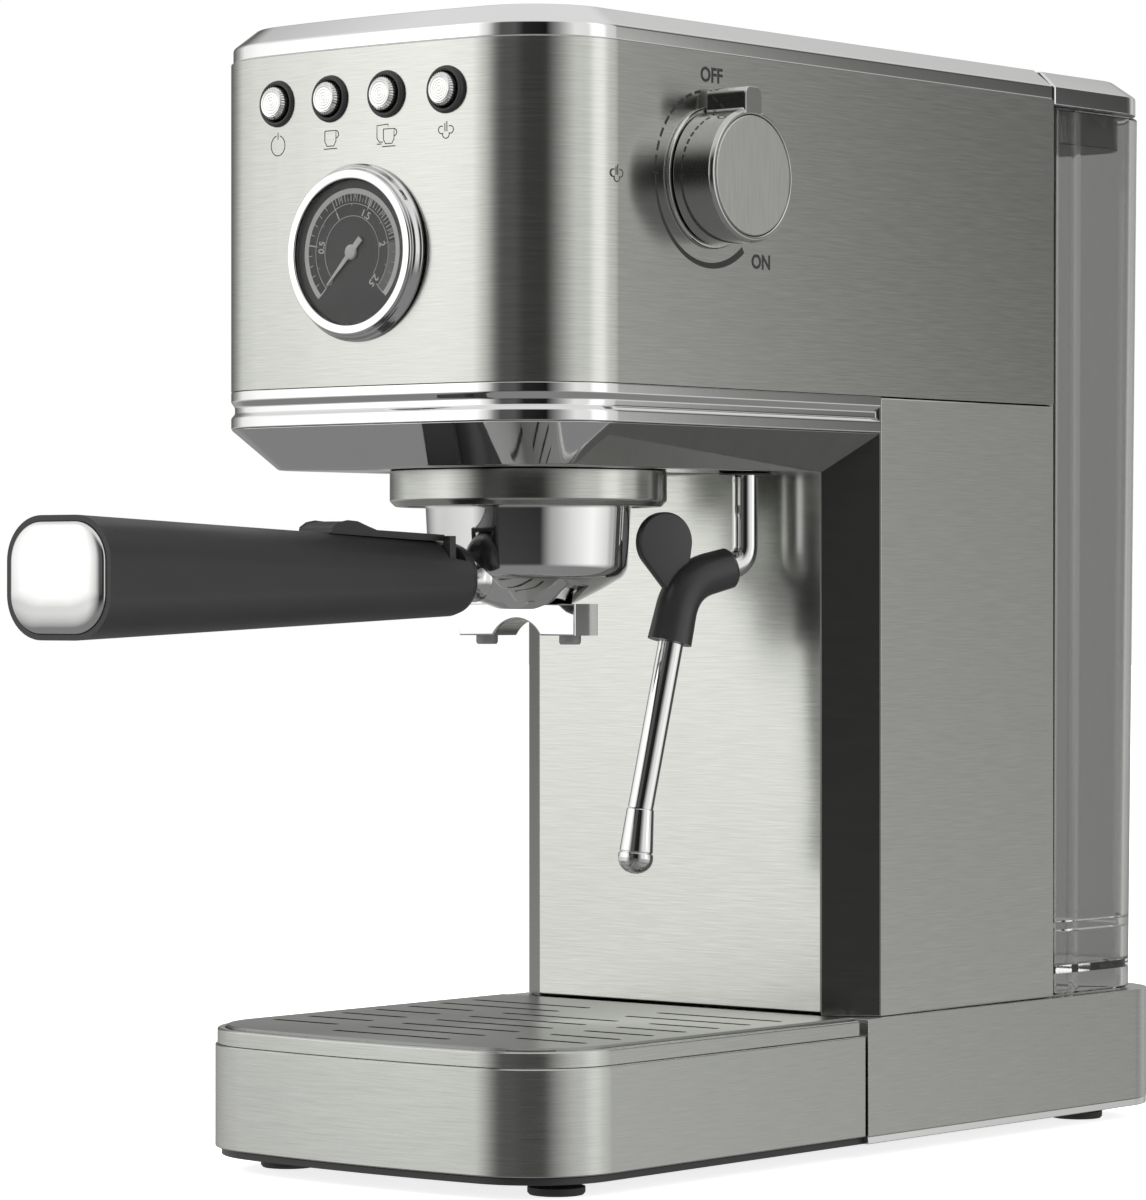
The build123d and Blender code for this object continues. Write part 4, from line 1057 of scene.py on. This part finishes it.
# %% The two-way spout and the basket clip, cut from side views with rolled edges
def pillow(bm, outline, layers, place):
    """A flat shape with soft edges; every (inset, depth) layer repeats the outline, shrunk."""
    points = [Vector(p) for p in outline]
    rows = []
    for inset, depth in layers:
        row = []
        for before, point, after in zip(points[-1:] + points, points, points[1:] + points[:1]):
            run = ((after - point).normalized() - (before - point).normalized()).normalized()
            shrunk = point + Vector((-run.y, run.x)) * inset
            row.append(bm.verts.new(place @ Vector((shrunk.x, shrunk.y, depth))))
        rows.append(row)
    skinned(bm, rows)


def soft_layers(half_depth, roll):
    """Insets and depths of a rolled edge on both sides."""
    turns = [math.radians(a) for a in (90, 60, 30, 0)]
    one = [(roll * (1 - math.cos(t)), -half_depth + roll * (1 - math.sin(t))) for t in turns]
    return one + [(inset, -depth) for inset, depth in reversed(one)]


SPOUT_HALF_W, SPOUT_HALF_D, SPOUT_LOW, SPOUT_TOP = 19.3, 5.5, 142.8, 151.3
ARCH_HALF_W, ARCH_RISE = 7.8, 4.4
arch_r = (ARCH_HALF_W ** 2 + ARCH_RISE ** 2) / (2 * ARCH_RISE)
arch_span = math.degrees(math.asin(ARCH_HALF_W / arch_r))
spout_side = [(SPOUT_HALF_W, SPOUT_LOW), (SPOUT_HALF_W, SPOUT_TOP), (-SPOUT_HALF_W, SPOUT_TOP),
              (-SPOUT_HALF_W, SPOUT_LOW)]
spout_side += arc(0, SPOUT_LOW + ARCH_RISE - arch_r, arch_r, -arch_span, arch_span, 24)
spout_bm = bmesh.new()
pillow(spout_bm, spout_side, soft_layers(SPOUT_HALF_D, 0.6), upright)
spout = settle(mesh_of(spout_bm, "portafilter_spout_fine"), "portafilter_spout_fine", chrome_bright,
               "portafilter_spout", 50)
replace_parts(flattened(spout), "portafilter_spout")

HANDLE_END = 189.0
GRIP_START, GRIP_HALF_H, GRIP_RISE = 38.0, 9.85, 5.15
CLIP_RHO, CLIP_Z, CLIP_HALF_W = 44.0, 165.6, 5.4
ARM = [(44.6, 0.0), (58, 0.0), (91.5, 0.0), (91.0, 1.3), (88.5, 2.6), (85, 3.2), (81, 3.1),
       (77, 2.1), (73, 1.2), (44.6, 1.3)]


def grip_top(rho):
    """Height of the grip's upper face at a distance from the group's axis."""
    share = (rho - GRIP_START) / (HANDLE_END - GRIP_START)
    return HANDLE_Z + GRIP_HALF_H + GRIP_RISE * share


sideways = group_place @ Matrix(((0, 0, 1, 0), (1, 0, 0, 0), (0, 1, 0, 0), (0, 0, 0, 1)))
clip_bm = bmesh.new()
arm_side = [(-rho, grip_top(rho) + rise) for rho, rise in ARM]
pillow(clip_bm, arm_side, soft_layers(CLIP_HALF_W, 0.3), sideways)
ear_foot, ear_head = CLIP_Z - 2.6, grip_top(CLIP_RHO) + 1.2
ear_side = [(-46.4, ear_foot), (-43.8, ear_foot), (-43.8, ear_head), (-46.4, ear_head)]
for side in (-1, 1):
    ear_place = sideways @ Matrix.Translation((0, 0, side * 7.6))
    pillow(clip_bm, ear_side, soft_layers(1.2, 0.25), ear_place)
bar_foot = grip_top(46) + 0.1
bar_side = [(-46.4, bar_foot), (-44.0, bar_foot), (-44.0, ear_head), (-46.4, ear_head)]
pillow(clip_bm, bar_side, soft_layers(8.6, 0.25), sideways)
clip = settle(mesh_of(clip_bm, "basket_clip_fine"), "basket_clip_fine", black_grip,
              "basket_clip", 40)
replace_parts(flattened(clip), "basket_clip")
print("spout and clip faces:", len(spout.data.polygons), len(clip.data.polygons))


# %% The handle's domed end cap
CAP_W, CAP_H, CAP_R = 30.0, 27.0, 9.6
CAP_PLUG, CAP_EDGE, CAP_DOME = 1.9, 0.15, 1.7


def soft_rectangle(width, height, radius, steps=12):
    """Outline of a rounded rectangle, with corners drawn as arcs."""
    x, y = width / 2 - radius, height / 2 - radius
    outline = []
    for cx, cy, first in ((x, y, 0), (x, -y, 90), (-x, -y, 180), (-x, y, 270)):
        outline += arc(cx, cy, radius, first, first + 90, steps)
    return outline


cap_levels = [(1.0, -CAP_PLUG), (1.0, CAP_EDGE)]
cap_levels += [(math.cos(math.radians(a)) ** 0.55, CAP_EDGE + CAP_DOME * math.sin(math.radians(a)))
               for a in range(10, 90, 8)]
cap_bm = bmesh.new()
rings = []
for share, rise in cap_levels:
    spots = [Vector((x * share, -HANDLE_END - rise, HANDLE_Z + y * share))
             for x, y in soft_rectangle(CAP_W, CAP_H, CAP_R)]
    rings.append([cap_bm.verts.new(group_place @ spot) for spot in spots])
skinned(cap_bm, rings)
bmesh.ops.remove_doubles(cap_bm, verts=cap_bm.verts, dist=1e-7)
end_cap = settle(mesh_of(cap_bm, "handle_end_cap_fine"), "handle_end_cap_fine", chrome_bright,
                 "handle_end_cap")
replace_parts(end_cap, "handle_end_cap")
print("cap rings:", len(rings))

# %% [markdown]
# ## Steam wand
# The wand hangs from a bush, bends towards the user and ends in a bullet-shaped tip. A silicone
# sleeve with a thumb paddle covers the bend. Tubes are swept along a rounded path with a radius
# for every point, so the sleeve can flare at its lower end.

# %% Sweep a round section along a path
WAND_LEAN = (-0.39, -0.921)
ACROSS = Vector((WAND_LEAN[1], -WAND_LEAN[0], 0)).normalized()


def wand_point(out, z):
    """A point in the wand's upright plane, out millimetres from its axis."""
    return Vector((WAND_X + out * WAND_LEAN[0], WAND_Y + out * WAND_LEAN[1], z))


def bent(corners, bends, steps=10):
    """Straight runs joined by soft bends, whose reach is given for each corner."""
    path = [corners[0]]
    for before, corner, after, reach in zip(corners, corners[1:], corners[2:], bends):
        path += eased(before, corner, after, reach, steps)
    return path + [corners[-1]]


def swept(bm, path, radii, sides=40):
    """A tube along a path in one upright plane, closed at both ends."""
    rings = []
    for k, (point, radius) in enumerate(zip(path, radii)):
        run = (path[min(k + 1, len(path) - 1)] - path[max(k - 1, 0)]).normalized()
        up = run.cross(ACROSS).normalized()
        ring = []
        for j in range(sides):
            turn = 2 * math.pi * j / sides
            spot = point + (ACROSS * math.cos(turn) + up * math.sin(turn)) * radius
            ring.append(bm.verts.new(at(*spot)))
        rings.append(ring)
    skinned(bm, rings)


PIPE_R = 3.5
pipe_top, elbow, shoulder = wand_point(0, 196.0), wand_point(0, 162.4), wand_point(19.6, 157.4)
sleeve_start, sleeve_end = wand_point(4.6, 161.2), wand_point(23.5, 140.9)
tip_start, tip_end = wand_point(32.4, 95.8), wand_point(34.4, 78.2)
pipe_path = bent([pipe_top, elbow, shoulder, tip_start], [5.0, 6.0])
pipe_bm = bmesh.new()
swept(pipe_bm, pipe_path, [PIPE_R] * len(pipe_path))
pipe = settle(mesh_of(pipe_bm, "steam_pipe_fine"), "steam_pipe_fine", chrome_bright, "steam_pipe")
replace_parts(pipe, "steam_pipe")
print("pipe points:", len(pipe_path))

# %% The sleeve with its paddle
LIP_R, COVER_R, SLEEVE_R, FLARE_R = 4.9, 5.6, 5.75, 6.1
sleeve_path = bent([sleeve_start, shoulder, sleeve_end], [8.5], 16)
sleeve_path.insert(1, sleeve_path[0].lerp(sleeve_path[1], 0.12))
flare = [LIP_R, COVER_R] + [SLEEVE_R] * (len(sleeve_path) - 3) + [FLARE_R]
sleeve_bm = bmesh.new()
swept(sleeve_bm, sleeve_path, flare)
PADDLE_OUT, PADDLE_Z, PADDLE_R = 25.2, 168.0, 8.2
ROOT_OUT, ROOT_Z = 21.0, 153.5
PADDLE_LAYERS = [(0.86, -1.55), (0.95, -1.4), (1.0, -0.9), (1.0, 0.9), (0.95, 1.4), (0.86, 1.55)]
lean = math.degrees(math.atan2(PADDLE_OUT - ROOT_OUT, PADDLE_Z - ROOT_Z))
paddle_side = arc(PADDLE_OUT, PADDLE_Z, PADDLE_R, lean - 118, lean + 118, 40)
paddle_side += [(ROOT_OUT + 2.6, ROOT_Z), (ROOT_OUT - 2.0, ROOT_Z + 0.5)]
layers = []
for share, side in PADDLE_LAYERS:
    inset = (1 - share) * PADDLE_R
    layer = []
    for out, z in paddle_side:
        away = Vector((out - PADDLE_OUT, z - PADDLE_Z))
        reach = max(away.length - inset, 0.0) / away.length
        spot = wand_point(PADDLE_OUT + away.x * reach, PADDLE_Z + away.y * reach) + ACROSS * side
        layer.append(sleeve_bm.verts.new(at(*spot)))
    layers.append(layer)
skinned(sleeve_bm, layers)
sleeve = settle(mesh_of(sleeve_bm, "wand_sleeve_fine"), "wand_sleeve_fine", black_silicone,
                "wand_sleeve")
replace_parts(sleeve, "wand_sleeve")
print("sleeve faces:", len(sleeve.data.polygons))

# %% The bullet tip
tip_axis = tip_end - tip_start
tip_place = facing(tip_start, tip_axis, (0, 1, 0))
LENGTH = tip_axis.length
NOSE_START, NOSE_R = 13.4, 4.85
tip_profile = [(0, 0), (3.62, 0), (3.75, 0.25), (4.6, 11.6), (4.45, 11.75), (4.45, 12.0),
               (4.75, 12.15), (NOSE_R, NOSE_START)]
for degrees in range(15, 90, 15):
    a = math.radians(degrees)
    tip_profile.append((NOSE_R * math.cos(a), NOSE_START + (LENGTH - NOSE_START) * math.sin(a)))
tip = turned("wand_tip_fine", tip_profile + [(0, LENGTH)], tip_place, chrome_bright, "wand_tip", 0.1)
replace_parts(tip, "wand_tip")
print("tip length", round(LENGTH, 1))

# %% [markdown]
# ## Everything else
# Pieces that are hidden inside, or plain enough that CAD already gives their whole form, keep their
# CAD mesh and only take a finish.

# %% Which finish each other CAD piece takes
FINISHES = {
    chrome_satin: ["filter_basket", "shower_screen", "foot_screws"],
    black_plastic: ["tank_dock", "gauge_case"],
    black_rubber: ["rubber_feet", "group_gasket", "pump_mounts"],
    grey_plastic: ["tank_valve", "vibration_pump"], nozzle_grey: ["spout_nozzles"],
    white_plastic: ["pressure_hose", "intake_hose", "hot_water_pipes"],
    green_board: ["control_board"], cast_alloy: ["thermoblock", "group_head"],
    turned_brass: ["steam_valve", "thermostats"],
}
for finish, names in FINISHES.items():
    for name in names:
        mesh = nodes[name].data
        mesh.materials.clear()
        mesh.materials.append(finish)
print("plain CAD pieces:", sum(len(names) for names in FINISHES.values()))
